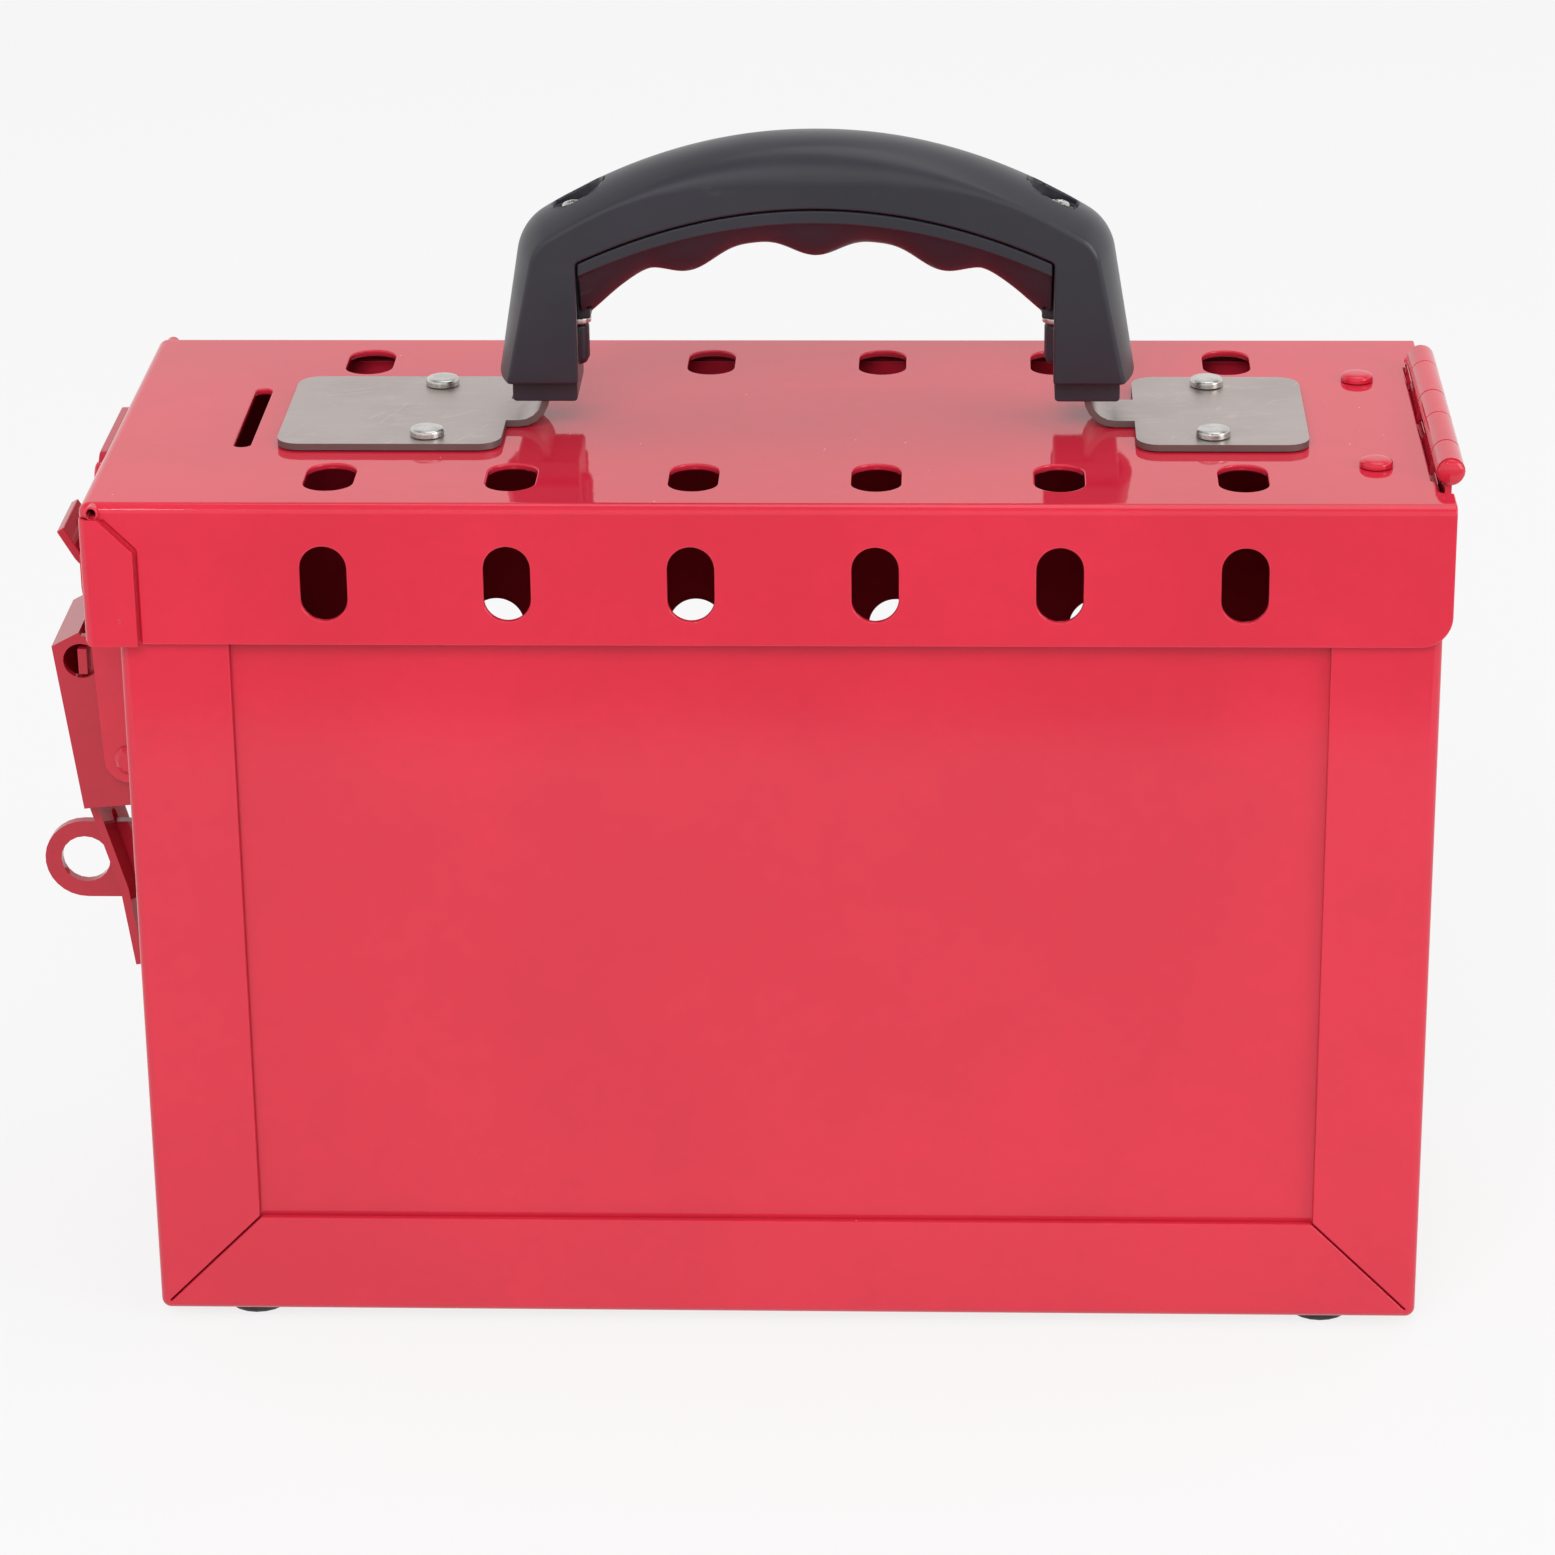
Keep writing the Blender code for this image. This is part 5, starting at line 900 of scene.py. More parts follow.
CASE_HALF = CASE_HIGH.y
FLANGE = 18.9 * MM
PANEL_Y = CASE_HALF - SHEET - SEAT
PANEL_INSET = 1.5 * MM
BACK_HOLE_START, BACK_HOLE_DROP, BACK_HOLE_RADIUS = 56.45 * MM, 55.3 * MM, 5.1 * MM


def flange_cutters():
    """The windows inside the flanges of the front and the back, and the slits of their mitred corners."""
    left, right, sill = CASE_LOW.x + FLANGE, CASE_HIGH.x - FLANGE, CASE_LOW.z + FLANGE
    window = rounded_rectangle(left, right, sill, CASE_HIGH.z + 2 * PAST, 0.4 * MM, 3)
    cutters = [through("window", window, CASE_HALF)]
    reach = FLANGE - BEND
    for corner, way in ((left, -1), (right, 1)):
        slit = strip([(corner - way * 0.2 * MM, sill + 0.2 * MM), (corner + way * reach, sill - reach)],
                     0.35 * MM)
        cutters += [side_slab("mitre", slit, side, PANEL_Y, CASE_HALF + PAST) for side in (-1, 1)]
    return cutters


def panel_outlines(name, side):
    """A panel's edge and its slots, and the back panel's round holes."""
    x0, x1 = low(name).x, high(name).x
    outlines = [rectangle(x0, x1, low(name).z, high(name).z)]
    outlines += [obround(x, SLOT_Z, *PANEL_SLOT) for x in HOLE_XS]
    if side > 0:
        pitch = (x1 - x0 + 2 * PANEL_INSET - 2 * BACK_HOLE_START) / 3
        outlines += [circle(x0 - PANEL_INSET + BACK_HOLE_START + i * pitch, TOP_Z - BACK_HOLE_DROP,
                            BACK_HOLE_RADIUS) for i in range(4)]
    return outlines


class LOCKBOX_OT_case(bpy.types.Operator):
    """Folded case wrap with mitred flanges, and the two panels behind them"""

    bl_idname = "lockbox.case"
    bl_label = "Case"

    def execute(self, context):
        s = settings().shape
        wrap = open_box("wrap", CASE_LOW, CASE_HIGH, CASE_HALF, [(0, 0, 1)])
        window, *mitres = flange_cutters()
        carved(wrap, window, joined("mitres", mitres))
        softened(wrap, s.edge * 0.8)
        placed(wrap, red_coat(), "red_coat", "case", "case_wrap")
        for name, side in (("front_panel", -1), ("back_panel", 1)):
            a, b = sorted((side * PANEL_Y, side * (PANEL_Y - SHEET)))
            panel = slab(name + "_sheet", panel_outlines(name, side), "XZ", a, b)
            softened(panel, s.edge * 0.6, 2)
            placed(panel, red_coat(), "red_coat", "case", name)
        return {"FINISHED"}


# Handle

HANDLE_X = middle("handle_shell").x
HALF_SPAN = (high("handle_shell").x - low("handle_shell").x) / 2
LEG_IN = HALF_SPAN - 14.4 * MM
FOOT_Z = TOP_Z + 9.2 * MM
CROWN_Z = TOP_Z + 52.05 * MM
SHELL_HALF = 9.8 * MM
SHELL_WALL = 1.9 * MM
SHELL_TOP = 60.0 * MM
BOSS_RADIUS, BOSS_FOOT, SCREW_WAY = 5.4 * MM, 36.8 * MM, 1.95 * MM
RECESS, RECESS_IN, RECESS_FLOOR = (8.7 * MM, 7.8 * MM), 0.6 * MM, 38.3 * MM
SCREW_OUT = HALF_SPAN - 13.9 * MM
UP = (0, 0, 1)
GRIP_HALF, GRIP_STEPS, GRIP_RINGS = 8.6 * MM, 28, 120
GRIP_DEPTH, LEG_DROP, LEG_REACH = 9.2 * MM, 3.6 * MM, 13.0 * MM
FINGER_PITCH, WAVE_HEIGHT = 21.8 * MM, 3.0 * MM
BAND_HALF, BAND_DEPTH, END_HALF = 9.3 * MM, 2.7 * MM, 3.4 * MM
CROWN_POWER, SHOULDER_RADIUS, SHOULDER_END = 2.07, 9.5 * MM, radians(59)
UNDER_TOP, UNDER_FALL = 40.85 * MM, 9.75 * MM
SHOULDER_Z = TOP_Z + 31.5 * MM
LEG_SLOPE = 4.1 / 24.5
DOME, DOME_FOOT = 3.0 * MM, 2.0 * MM
LEG_CORNER, CROWN_CORNER, CORNER_REACH = 0.7 * MM, 4.0 * MM, 38.0 * MM


def mirrored(points):
    """A left half line, from the foot to the middle, with its mirror about the handle."""
    return points + [(2 * HANDLE_X - x, z) for x, z in reversed(points[:-1])]


def screw_place(side):
    return (HANDLE_X + side * SCREW_OUT, 0, TOP_Z)


def shell_under(x):
    """Height of the shell's lower edge."""
    return TOP_Z + UNDER_TOP - UNDER_FALL * (x / LEG_IN) ** 2


def crown_line(shoulder_steps=16, back_steps=40):
    """The handle's back in the middle of its width: a leg, a round shoulder and a flat arch."""
    foot = Vector((HALF_SPAN, FOOT_Z))
    shoulder = Vector((HALF_SPAN - LEG_SLOPE * (SHOULDER_Z - FOOT_Z), SHOULDER_Z))
    along = (shoulder - foot).normalized()
    centre = shoulder + Vector((-along.y, along.x)) * SHOULDER_RADIUS
    curve = arc(centre.x, centre.y, SHOULDER_RADIUS, atan2(-along.x, along.y), SHOULDER_END, shoulder_steps)
    line = [tuple(foot.lerp(shoulder, i / 10)) for i in range(10)] + curve
    end_x, end_z = curve[-1]
    for i in range(1, back_steps + 1):
        x = end_x * (1 - i / back_steps)
        line.append((x, CROWN_Z - (CROWN_Z - end_z) * (x / end_x) ** CROWN_POWER))
    return mirrored([(HANDLE_X - x, z) for x, z in line])


def inset_line(points, distances):
    """The line with each of its points moved to its right by its own distance."""
    return [(x + way.y * distance, z - way.x * distance)
            for (x, z), way, distance in zip(points, directions(points), distances)]


def across(half, corner, dome_steps, corner_steps):
    """Places across the arch, each with how far its rounded corner has fallen there."""
    flat = half - corner
    places = [(flat * i / dome_steps, 0.0) for i in range(dome_steps)]
    for i in range(corner_steps + 1):
        turn = pi / 2 * i / corner_steps
        places.append((flat + corner * sin(turn), corner * (1 - cos(turn))))
    return [(-y, fall) for y, fall in reversed(places[1:])] + places


def arch(name, wall, below, inner, half, dome_steps, corner_steps):
    """An arch whose back is domed across, the wall inside the crown line and so far below its feet."""
    crown = crown_line()
    count = len(crown)
    sections = []
    for x, _ in crown:
        middle = max(0.0, 1.0 - ((x - HANDLE_X) / CORNER_REACH) ** 2) ** 2
        corner = LEG_CORNER + (CROWN_CORNER - LEG_CORNER) * middle
        sections.append(across(half, corner, dome_steps, corner_steps))
    shape = bmesh.new()
    rows = []
    for j in range(len(sections[0])):
        depths = []
        for i in range(count):
            y, fall = sections[i][j]
            rise = min(1.0, min(i, count - 1 - i) / 10)
            depths.append(wall + (DOME_FOOT + (DOME - DOME_FOOT) * rise) * (y / half) ** 2 + fall)
        row = inset_line(crown, depths)
        row[0] = (row[0][0], FOOT_Z)
        row[-1] = (row[-1][0], FOOT_Z)
        ys = [section[j][0] for section in sections]
        if below:
            row = [(row[0][0], FOOT_Z - below)] + row + [(row[-1][0], FOOT_Z - below)]
            ys = ys[:1] + ys + ys[-1:]
        rows.append([shape.verts.new((x, y, z)) for (x, z), y in zip(row, ys)])
    under = [[shape.verts.new((x, y, z)) for x, z in inner] for y in (-half, half)]
    for first, second in list(zip(rows, rows[1:])) + [(under[1], under[0])]:
        for i in range(len(first) - 1):
            shape.faces.new((first[i], first[i + 1], second[i + 1], second[i]))
    shape.faces.new(rows[0] + under[0][::-1])
    shape.faces.new(rows[-1][::-1] + under[1])
    for end in (0, -1):
        shape.faces.new([row[end] for row in rows] + [under[1][end], under[0][end]])
    return from_shape(name, shape)


def turned(name, profile, centre, axis, sides=48):
    """A closed profile of (radius, height) points from top to bottom, turned round an axis."""
    shape = bmesh.new()
    rings = []
    for radius, height in profile:
        if radius == 0:
            rings.append([shape.verts.new((0, 0, height))])
        else:
            angles = [2 * pi * i / sides for i in range(sides)]
            rings.append([shape.verts.new((radius * cos(t), radius * sin(t), height)) for t in angles])
    for upper, lower in zip(rings, rings[1:]):
        for i in range(sides):
            corners = [upper[i % len(upper)], lower[i % len(lower)],
                       lower[(i + 1) % len(lower)], upper[(i + 1) % len(upper)]]
            unique = list(dict.fromkeys(corners))
            if len(unique) > 2:
                shape.faces.new(unique)
    turn = aimed(axis).to_matrix().to_4x4()
    bmesh.ops.transform(shape, matrix=Matrix.Translation(centre) @ turn, verts=shape.verts)
    return from_shape(name, shape)


def build_shell(s):
    """The hollow back of the handle, with its screw bosses and the recesses over them."""
    shares = [1 - i / 40 for i in range(41)]
    inner = [(HANDLE_X - LEG_IN, FOOT_Z)]
    inner += [(HANDLE_X - LEG_IN * share, shell_under(LEG_IN * share)) for share in shares]
    shell = arch("handle_back", 0, 0, mirrored(inner), SHELL_HALF, 12, 7)
    leg = LEG_IN - PAST
    cavity = mirrored([(HANDLE_X - leg, FOOT_Z - PAST), (HANDLE_X - leg, shell_under(leg) - PAST),
                       (HANDLE_X, shell_under(0) - PAST)])
    hollow = arch("hollow", SHELL_WALL, PAST, cavity, SHELL_HALF - SHELL_WALL, 3, 3)
    bosses, ways = [], []
    for side in (-1, 1):
        place = screw_place(side)
        bosses.append(turned("boss", rod_profile(BOSS_RADIUS, SHELL_TOP, BOSS_FOOT), place, UP))
        recess = obround(place[0] - side * RECESS_IN, 0, *RECESS)
        ways.append(slab("recess", [recess], "XY", TOP_Z + RECESS_FLOOR, TOP_Z + SHELL_TOP))
        ways.append(turned("way", rod_profile(SCREW_WAY, 40 * MM, 30 * MM), place, UP))
    carved(hollow, joined("bosses", bosses))
    carved(shell, hollow, *ways)
    return softened(shell, s.moulded_edge, 3, radians(28))


def grip_bottom(x):
    """The underside's wave for four fingers, flattened and lowered near the legs."""
    distance = abs(x)
    share = max(distance - (LEG_IN - LEG_REACH), 0) / LEG_REACH
    swing = (0.5 + 0.5 * cos(2 * pi * distance / FINGER_PITCH)) ** 1.5
    wave = WAVE_HEIGHT * (swing - 0.45) * (1 - share)
    return shell_under(x) - GRIP_DEPTH - wave - LEG_DROP * share ** 1.3


def grip_section(x):
    """The grip's outline across the handle: a round underside below a flat band."""
    band, bottom = shell_under(x) - 1.4 * MM, grip_bottom(x)
    shares = [2 * j / GRIP_STEPS - 1 for j in range(GRIP_STEPS + 1)]
    under = [(GRIP_HALF * t, band - (band - bottom) * (1 - abs(t) ** 1.9)) for t in shares]
    return [(-GRIP_HALF, band + 1.0 * MM), *under, (GRIP_HALF, band + 1.0 * MM)]


def build_grip():
    """The lower half of the handle: rounded finger waves under a flat band."""
    shape = bmesh.new()
    leg = LEG_IN - SEAT
    rings = []
    for i in range(GRIP_RINGS + 1):
        x = -leg + 2 * leg * i / GRIP_RINGS
        rings.append([shape.verts.new((HANDLE_X + x, y, z)) for y, z in grip_section(x)])
    for first, second in zip(rings, rings[1:]):
        for i in range(len(first)):
            j = (i + 1) % len(first)
            shape.faces.new((first[i], first[j], second[j], second[i]))
    shape.faces.new(rings[0])
    shape.faces.new(rings[-1][::-1])
    grip = from_shape("handle_underside", shape)
    ends = []
    for side in (-1, 1):
        a, b = sorted((HANDLE_X + side * (LEG_IN - 2.0 * MM), HANDLE_X + side * (LEG_IN + 4.4 * MM)))
        outline = rectangle(a, b, TOP_Z + 19.3 * MM, TOP_Z + 33.0 * MM)
        ends.append(slab("end", [outline], "XZ", -END_HALF, END_HALF))
    xs = [leg - 2 * leg * i / 80 for i in range(81)]
    outline = [(HANDLE_X + x, shell_under(x) - BAND_DEPTH) for x in reversed(xs)]
    outline += [(HANDLE_X + x, shell_under(x) - SEAT) for x in xs]
    band = slab("band", [outline], "XZ", -BAND_HALF, BAND_HALF)
    fused(grip, joined("ends", ends), band)
    return softened(grip, 0.35 * MM, 3, radians(40))


PLUG_WIDER, PLUG_LOWER, PLUG_CORNER = 2.3 * MM, 0.4 * MM, 0.7 * MM
PLUG_POST = ((0, 17.4), (2.0, 17.4), (2.0, 11.6), (1.4, 10.4), (0, 10.0))


def build_plug(node, side):
    """The plug in a leg, with its rounded foot and the post that the screw goes into."""
    post = turned("post", [(radius * MM, height * MM) for radius, height in PLUG_POST], screw_place(side), UP)
    ends = [low(node).x, high(node).x]
    ends[side > 0] += side * PLUG_WIDER
    outline = rounded_rectangle(*ends, low(node).z - PLUG_LOWER, FOOT_Z + 1.0 * MM, PLUG_CORNER, 4)
    foot = slab("foot", [outline], "XZ", low(node).y, high(node).y)
    return softened(fused(node_copy(node, node + "_moulded"), foot, post), 0.25 * MM, 2)


class LOCKBOX_OT_handle(bpy.types.Operator):
    """Moulded handle: hollow back, waved underside and the plugs in its legs"""

    bl_idname = "lockbox.handle"
    bl_label = "Handle"

    def execute(self, context):
        s = settings().shape
        placed(build_shell(s), handle_plastic(), "handle_plastic", "lid", "handle_shell")
        placed(build_grip(), handle_plastic(), "handle_plastic", "lid", "handle_grip")
        for node, side in (("leg_plug_left", -1), ("leg_plug_right", 1)):
            placed(build_plug(node, side), handle_plastic(), "handle_plastic", "lid", node)
        return {"FINISHED"}


# Pieces that keep their solid's form, with softened edges

SIDES = ("left", "right")
CORNERS = ("front_left", "front_right", "back_left", "back_right")
SOFT_PIECES = (
    # node, new name, body, slot, finish, edge width in millimetres
    *((f"handle_bracket_{side}", f"bracket_plate_{side}", "lid", "bracket_steel", "bracket", 0.3)
      for side in SIDES),
    # Pieces with the latch finish take the red coat darkened with painted shade
    ("latch_catch", "catch_hook", "lid", "red_coat", "latch", 0.35),
    ("latch_base", "lever_base", "case", "red_coat", "latch", 0.3),
    ("padlock_staple", "staple_plate", "case", "red_coat", "latch", 0.35),
    ("latch_lever", "lever_channel", "lever", "red_coat", "latch", 0.4),
    ("latch_link", "link_bail", "link", "red_coat", "red", 0.35),
    ("hinge_leaf_case", "case_leaf", "case", "red_coat", "red", 0.2),
    ("hinge_leaf_lid", "lid_leaf", "lid", "red_coat", "red", 0.2),
    *((f"foot_{corner}", f"pad_{corner}", "case", "foot_rubber", "rubber", 0.3) for corner in CORNERS),
)

PIVOT_X, PIVOT_Z = LID_LOW.x - 7.4 * MM, TOP_Z - 42.0 * MM
LEVER_HALF = high("latch_lever").y
TOE = ((-1.0, -28.45), (7.0, -27.8), (7.0, -22.0), (2.0, -22.0))
TOE_SHEET, PIVOT_BORE = 1.15 * MM, 3.25 * MM


def reshaped(node, piece):
    """Forms that the solids leave plain: the lever's toes and bore, and the base's cut ears."""
    if node == "latch_lever":
        line = [(PIVOT_X + x * MM, PIVOT_Z + z * MM) for x, z in TOE]
        fused(piece, *[side_slab("toe", line, side, LEVER_HALF, LEVER_HALF - TOE_SHEET) for side in (-1, 1)])
        bore = circle(PIVOT_X - 0.25 * MM, PIVOT_Z + 0.1 * MM, PIVOT_BORE)
        carved(piece, through("hole", bore, LEVER_HALF))
    if node == "latch_base":
        cut = rectangle(PIVOT_X - PAST, PIVOT_X - 0.85 * MM, PIVOT_Z - 3.4 * MM, PIVOT_Z + PAST)
        carved(piece, *[side_slab("ear_cut", cut, side, LEVER_HALF - PAST, LEVER_HALF + PAST)
                        for side in (-1, 1)])
    return piece


class LOCKBOX_OT_soft_edges(bpy.types.Operator):
    """Brackets, latch, hinge and feet with the rounded edges of coated sheet and rubber"""

    bl_idname = "lockbox.soft_edges"
    bl_label = "Brackets, latch, hinge and feet"

    def execute(self, context):
        # The latch finish is the red coat with painted shade
        finishes = {"red": red_coat, "latch": latch_coat_painted_shade, "bracket": bracket_steel, "rubber": foot_rubber}
        for node, name, body, slot, finish, width in SOFT_PIECES:
            piece = softened(reshaped(node, node_copy(node, name)), width * MM, clamp=True)
            placed(piece, finishes[finish](), slot, body, node)
        return {"FINISHED"}


# Rivets turned from a rule by Geometry Nodes, and screws and pin turned from profiles

HEAD_SIDES, HEAD_ROWS = 48, 23
# Shares of the way down the profile where the dome ends, and where the edge and the base begin
DOME_END, EDGE_START, EDGE_SPAN, BASE_START = 0.73, 0.76, 0.10, 0.88


class Fastener:
    """A tree that turns a rounded head from its sizes and sets one on each point of a guide."""

    def __init__(self, name):
        self.tree = bpy.data.node_groups.new(name, "GeometryNodeTree")
        self.net = Net(self.tree)
        face = self.tree.interface
        face.new_socket("Geometry", in_out="OUTPUT", socket_type="NodeSocketGeometry")
        face.new_socket("Geometry", in_out="INPUT", socket_type="NodeSocketGeometry")
        self.inputs = {}
        for label, kind in (("Radius", "Float"), ("Height", "Float"), ("Squareness", "Float"),
                            ("Skirt", "Float"), ("Turn", "Rotation"), ("Finish", "Material")):
            socket = face.new_socket(label, in_out="INPUT", socket_type="NodeSocket" + kind)
            self.inputs[label] = socket.identifier
        self.build()

    def build(self):
        n = self.net
        given = n.outputs(n.add("NodeGroupInput"))
        size, height, square, skirt = (given[name] for name in ("Radius", "Height", "Squareness", "Skirt"))
        grid = n.add("GeometryNodeMeshGrid", {"Size X": 1.0, "Size Y": 1.0,
                                              "Vertices X": HEAD_SIDES + 1, "Vertices Y": HEAD_ROWS})
        round_share, down = (part + 0.5 for part in n.split(n.add("GeometryNodeInputPosition"))[:2])
        angle = round_share * (2 * pi)
        dome = n.clamp(down / DOME_END) * (pi / 2)
        edge = n.clamp((down - EDGE_START) / EDGE_SPAN)
        base = n.clamp((down - BASE_START) / (1 - BASE_START))
        power = 2.0 / square
        out = size * n.math("POWER", n.math("SINE", dome), power) * (1 - base)
        rise = height * n.math("POWER", n.math("COSINE", dome), power) - skirt * edge
        spot = n.add("ShaderNodeCombineXYZ", {0: out * n.math("COSINE", angle),
                                             1: out * n.math("SINE", angle), 2: rise})
        head = n.add("GeometryNodeSetPosition", {"Geometry": grid, "Position": spot})
        head = n.add("GeometryNodeMergeByDistance", {"Geometry": head, "Distance": 2 * MERGE})
        points = n.add("GeometryNodeMeshToPoints", {"Mesh": given["Geometry"]})
        heads = n.add("GeometryNodeInstanceOnPoints", {"Points": points, "Instance": head,
                                                       "Rotation": given["Turn"]})
        real = n.add("GeometryNodeRealizeInstances", {"Geometry": heads})
        smooth = n.add("GeometryNodeSetShadeSmooth", {"Geometry": real})
        painted = n.add("GeometryNodeSetMaterial", {"Geometry": smooth, "Material": given["Finish"]})
        n.add("NodeGroupOutput", {"Geometry": painted})

    def heads(self, name, places, axis, radius, height, square, skirt, finish):
        """One head on each place, facing along the axis, as a plain mesh."""
        mesh = bpy.data.meshes.new(name)
        mesh.from_pydata(places, [], [])
        item = link(name, mesh)
        modifier = item.modifiers.new("heads", "NODES")
        modifier.node_group = self.tree
        turn = aimed(axis).to_euler()
        values = {"Radius": radius, "Height": height, "Squareness": square, "Skirt": skirt, "Turn": turn,
                  "Finish": finish}
        for label, value in values.items():
            modifier[self.inputs[label]] = value
        applied(item)
        with reworked(item.data) as shape:
            bmesh.ops.recalc_face_normals(shape, faces=shape.faces)
        return item


def rivet_place(node, axis, height):
    """Where the head of a riveted solid sits, and where its tail ends."""
    way = Vector(axis)
    along = abs(way.dot((high(node) - low(node)) / 2))
    return middle(node) + way * (along - height), middle(node) - way * along


# name, nodes, body, slot, finish, axis, radius, height, squareness (all lengths in millimetres)
RIVETS = (
    ("bracket_rivets", [f"handle_rivet_{side}_{row}" for side in SIDES for row in ("front", "back")], "lid",
     "bracket_steel", "bright", (0, 0, 1), 3.0, 1.3, 5.0),
    ("hinge_rivets_lid", ["hinge_rivet_lid_front", "hinge_rivet_lid_back"], "lid", "red_coat", "red",
     (0, 0, 1), 2.9, 1.3, 3.4),
    ("catch_rivets", ["catch_rivet_front", "catch_rivet_back"], "lid", "red_coat", "red",
     (-1, 0, 0), 2.6, 1.0, 3.0),
    ("hinge_rivets_case", ["hinge_rivet_case_front", "hinge_rivet_case_back"], "case", "red_coat", "red",
     (1, 0, 0), 2.9, 1.3, 3.4),
    ("latch_rivets", ["latch_base_rivet_upper", "latch_base_rivet_lower", "staple_rivet_front",
                      "staple_rivet_back"], "case", "red_coat", "red", (-1, 0, 0), 2.4, 0.9, 3.0),
)
TAIL_RADIUS, TAIL_HEIGHT, TAIL_SQUARE, TAIL_SKIRT, HEAD_SKIRT = 2.2 * MM, 0.8 * MM, 2.6, 0.6 * MM, 0.1 * MM


class LOCKBOX_OT_rivets(bpy.types.Operator):
    """Rivets of the brackets, the hinge and the latch, with their set tails"""

    bl_idname = "lockbox.rivets"
    bl_label = "Rivets"

    def execute(self, context):
        finishes = {"red": red_coat, "bright": bright_steel}
        maker = Fastener("rivet_head")
        for name, nodes, body, slot, finish, axis, radius, height, square in RIVETS:
            material = finishes[finish]()
            spots = [rivet_place(node, axis, height * MM) for node in nodes]
            back = tuple(-v for v in axis)
            heads = maker.heads(name + "_heads", [s[0] for s in spots], axis, radius * MM, height * MM,
                                square, HEAD_SKIRT, material)
            tails = maker.heads(name + "_tails", [s[1] + Vector(axis) * TAIL_HEIGHT for s in spots], back,
                                TAIL_RADIUS, TAIL_HEIGHT, TAIL_SQUARE, TAIL_SKIRT, material)
            placed(joined(name, [heads, tails]), material, slot, body, *nodes)
        return {"FINISHED"}


HEAD_POWER, CROSS_SHARE, CROSS_TURN, PIN_HEAD = 2 / 2.6, 0.24, radians(28), 2.3 * MM


def cross_screw(name, place, axis, head, height, shank, length, cross, collar=0):
    """A pan headed screw with a cross recess, and with a collar at its end if it has one."""
    turns = [pi / 2 * i / 10 for i in range(1, 11)]
    profile = [(0, height)]
    profile += [(head * sin(t) ** HEAD_POWER, height * (0.25 + 0.75 * cos(t) ** HEAD_POWER)) for t in turns]
    profile += [(head, 0), (shank, 0), (shank, -length)]
    if collar:
        profile += [(collar, -length), (collar, -length - 0.9 * MM), (collar * 0.8, -length - 1.2 * MM)]
    profile.append((0, profile[-1][1]))
    body = turned(name, profile, (0, 0, 0), UP)
    blades = []
    for wide, deep in ((cross, cross * CROSS_SHARE), (cross * CROSS_SHARE, cross)):
        blade = rectangle(-wide / 2, wide / 2, -deep / 2, deep / 2)
        blades.append(slab("blade", [blade], "XY", height * 0.35, height + 1.0 * MM))
    carved(body, *blades)
    turn = aimed(axis).to_matrix().to_4x4()
    body.data.transform(Matrix.Translation(place) @ turn @ Matrix.Rotation(CROSS_TURN, 4, "Z"))
    return body


def build_pin():
    """The hinge pin between its two domed heads."""
    tip = (high("hinge_pin").y - low("hinge_pin").y) / 2
    turns = [pi / 2 * i / 12 for i in range(13)]
    half = [(PIN_HEAD * sin(t), tip - 0.9 * MM * (1 - cos(t))) for t in turns]
    half += [(PIN_HEAD, tip - 0.95 * MM), (1.1 * MM, tip - 0.95 * MM)]
    pin = turned("pin", half + [(r, -h) for r, h in reversed(half)], middle("hinge_pin"), (0, 1, 0))
    return softened(pin, 0.05 * MM, 2)


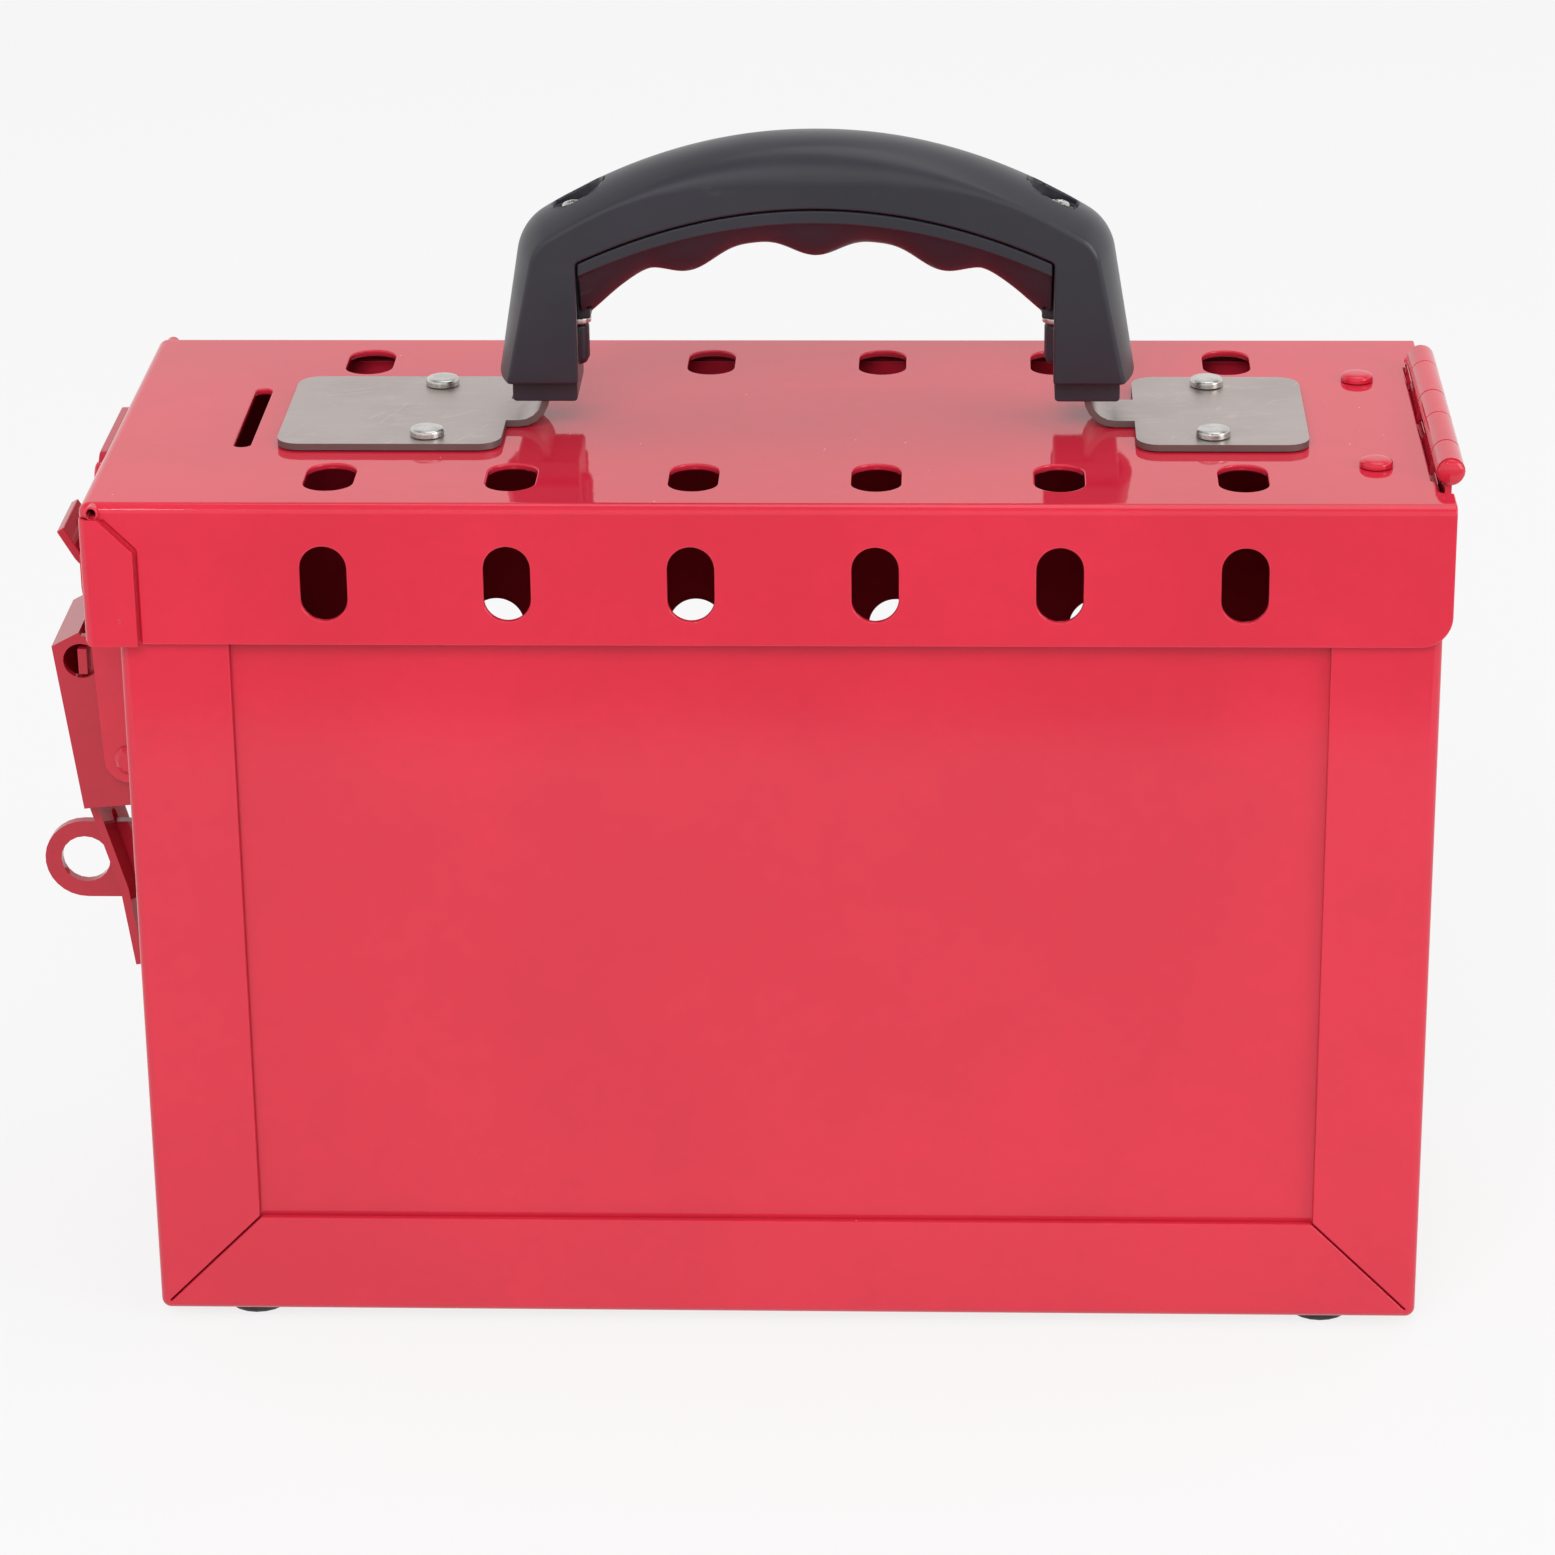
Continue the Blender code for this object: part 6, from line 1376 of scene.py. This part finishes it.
class LOCKBOX_OT_screws(bpy.types.Operator):
    """Screws of the handle and the feet, and the hinge pin with its domed ends"""

    bl_idname = "lockbox.screws"
    bl_label = "Screws and hinge pin"

    def execute(self, context):
        for side in SIDES:
            node = "handle_screw_" + side
            place = (middle(node).x, middle(node).y, TOP_Z + 38.4 * MM)
            screw = cross_screw("grip_screw_" + side, place, UP, 2.3 * MM, 1.3 * MM, 1.7 * MM,
                                19.5 * MM, 2.8 * MM, 2.4 * MM)
            placed(softened(screw, 0.08 * MM, 2), bright_steel(), "screw_steel", "lid", node)
        for corner in CORNERS:
            node = "foot_screw_" + corner
            place = (middle(node).x, middle(node).y, low(node).z + 0.7 * MM)
            screw = cross_screw("pad_screw_" + corner, place, (0, 0, -1), 2.6 * MM, 0.7 * MM, 1.3 * MM,
                                high(node).z - place[2], 2.8 * MM)
            placed(softened(screw, 0.08 * MM, 2), bright_steel(), "screw_steel", "case", node)
        placed(build_pin(), red_coat(), "red_coat", "case", "hinge_pin")
        return {"FINISHED"}


RED_NODES = ("link_pin_front", "link_pin_back")


class LOCKBOX_OT_finishes(bpy.types.Operator):
    """Finishes of the solids that are kept"""

    bl_idname = "lockbox.finishes"
    bl_label = "Kept solids"

    def execute(self, context):
        for node in RED_NODES:
            dress(node, red_coat())
        return {"FINISHED"}


OPERATORS = (LOCKBOX_OT_stage, LOCKBOX_OT_lid, LOCKBOX_OT_case, LOCKBOX_OT_handle, LOCKBOX_OT_soft_edges,
             LOCKBOX_OT_rivets, LOCKBOX_OT_screws, LOCKBOX_OT_finishes)


class LOCKBOX_PT_panel(bpy.types.Panel):
    """Buttons for the pieces of the lockout box"""

    bl_idname = "LOCKBOX_PT_panel"
    bl_label = "Lockout box"
    bl_space_type = "VIEW_3D"
    bl_region_type = "UI"
    bl_category = "Lockout box"

    def draw(self, context):
        for name in SETTINGS:
            group = getattr(settings(), name)
            box = self.layout.box()
            box.label(text=name.capitalize())
            for key in group.__annotations__:
                box.prop(group, key)
        for operator in OPERATORS:
            self.layout.operator(operator.bl_idname)


CLASSES = (*SETTINGS.values(), BoxSettings, *OPERATORS, LOCKBOX_PT_panel)


def register():
    for item in CLASSES:
        bpy.utils.register_class(item)
    bpy.types.Scene.lockout_box = PointerProperty(type=BoxSettings)


def unregister():
    del bpy.types.Scene.lockout_box
    for item in reversed(CLASSES):
        bpy.utils.unregister_class(item)


def main():
    register()
    for operator in OPERATORS:
        group, name = operator.bl_idname.split(".")
        getattr(getattr(bpy.ops, group), name)()


if __name__ == "__main__":
    main()
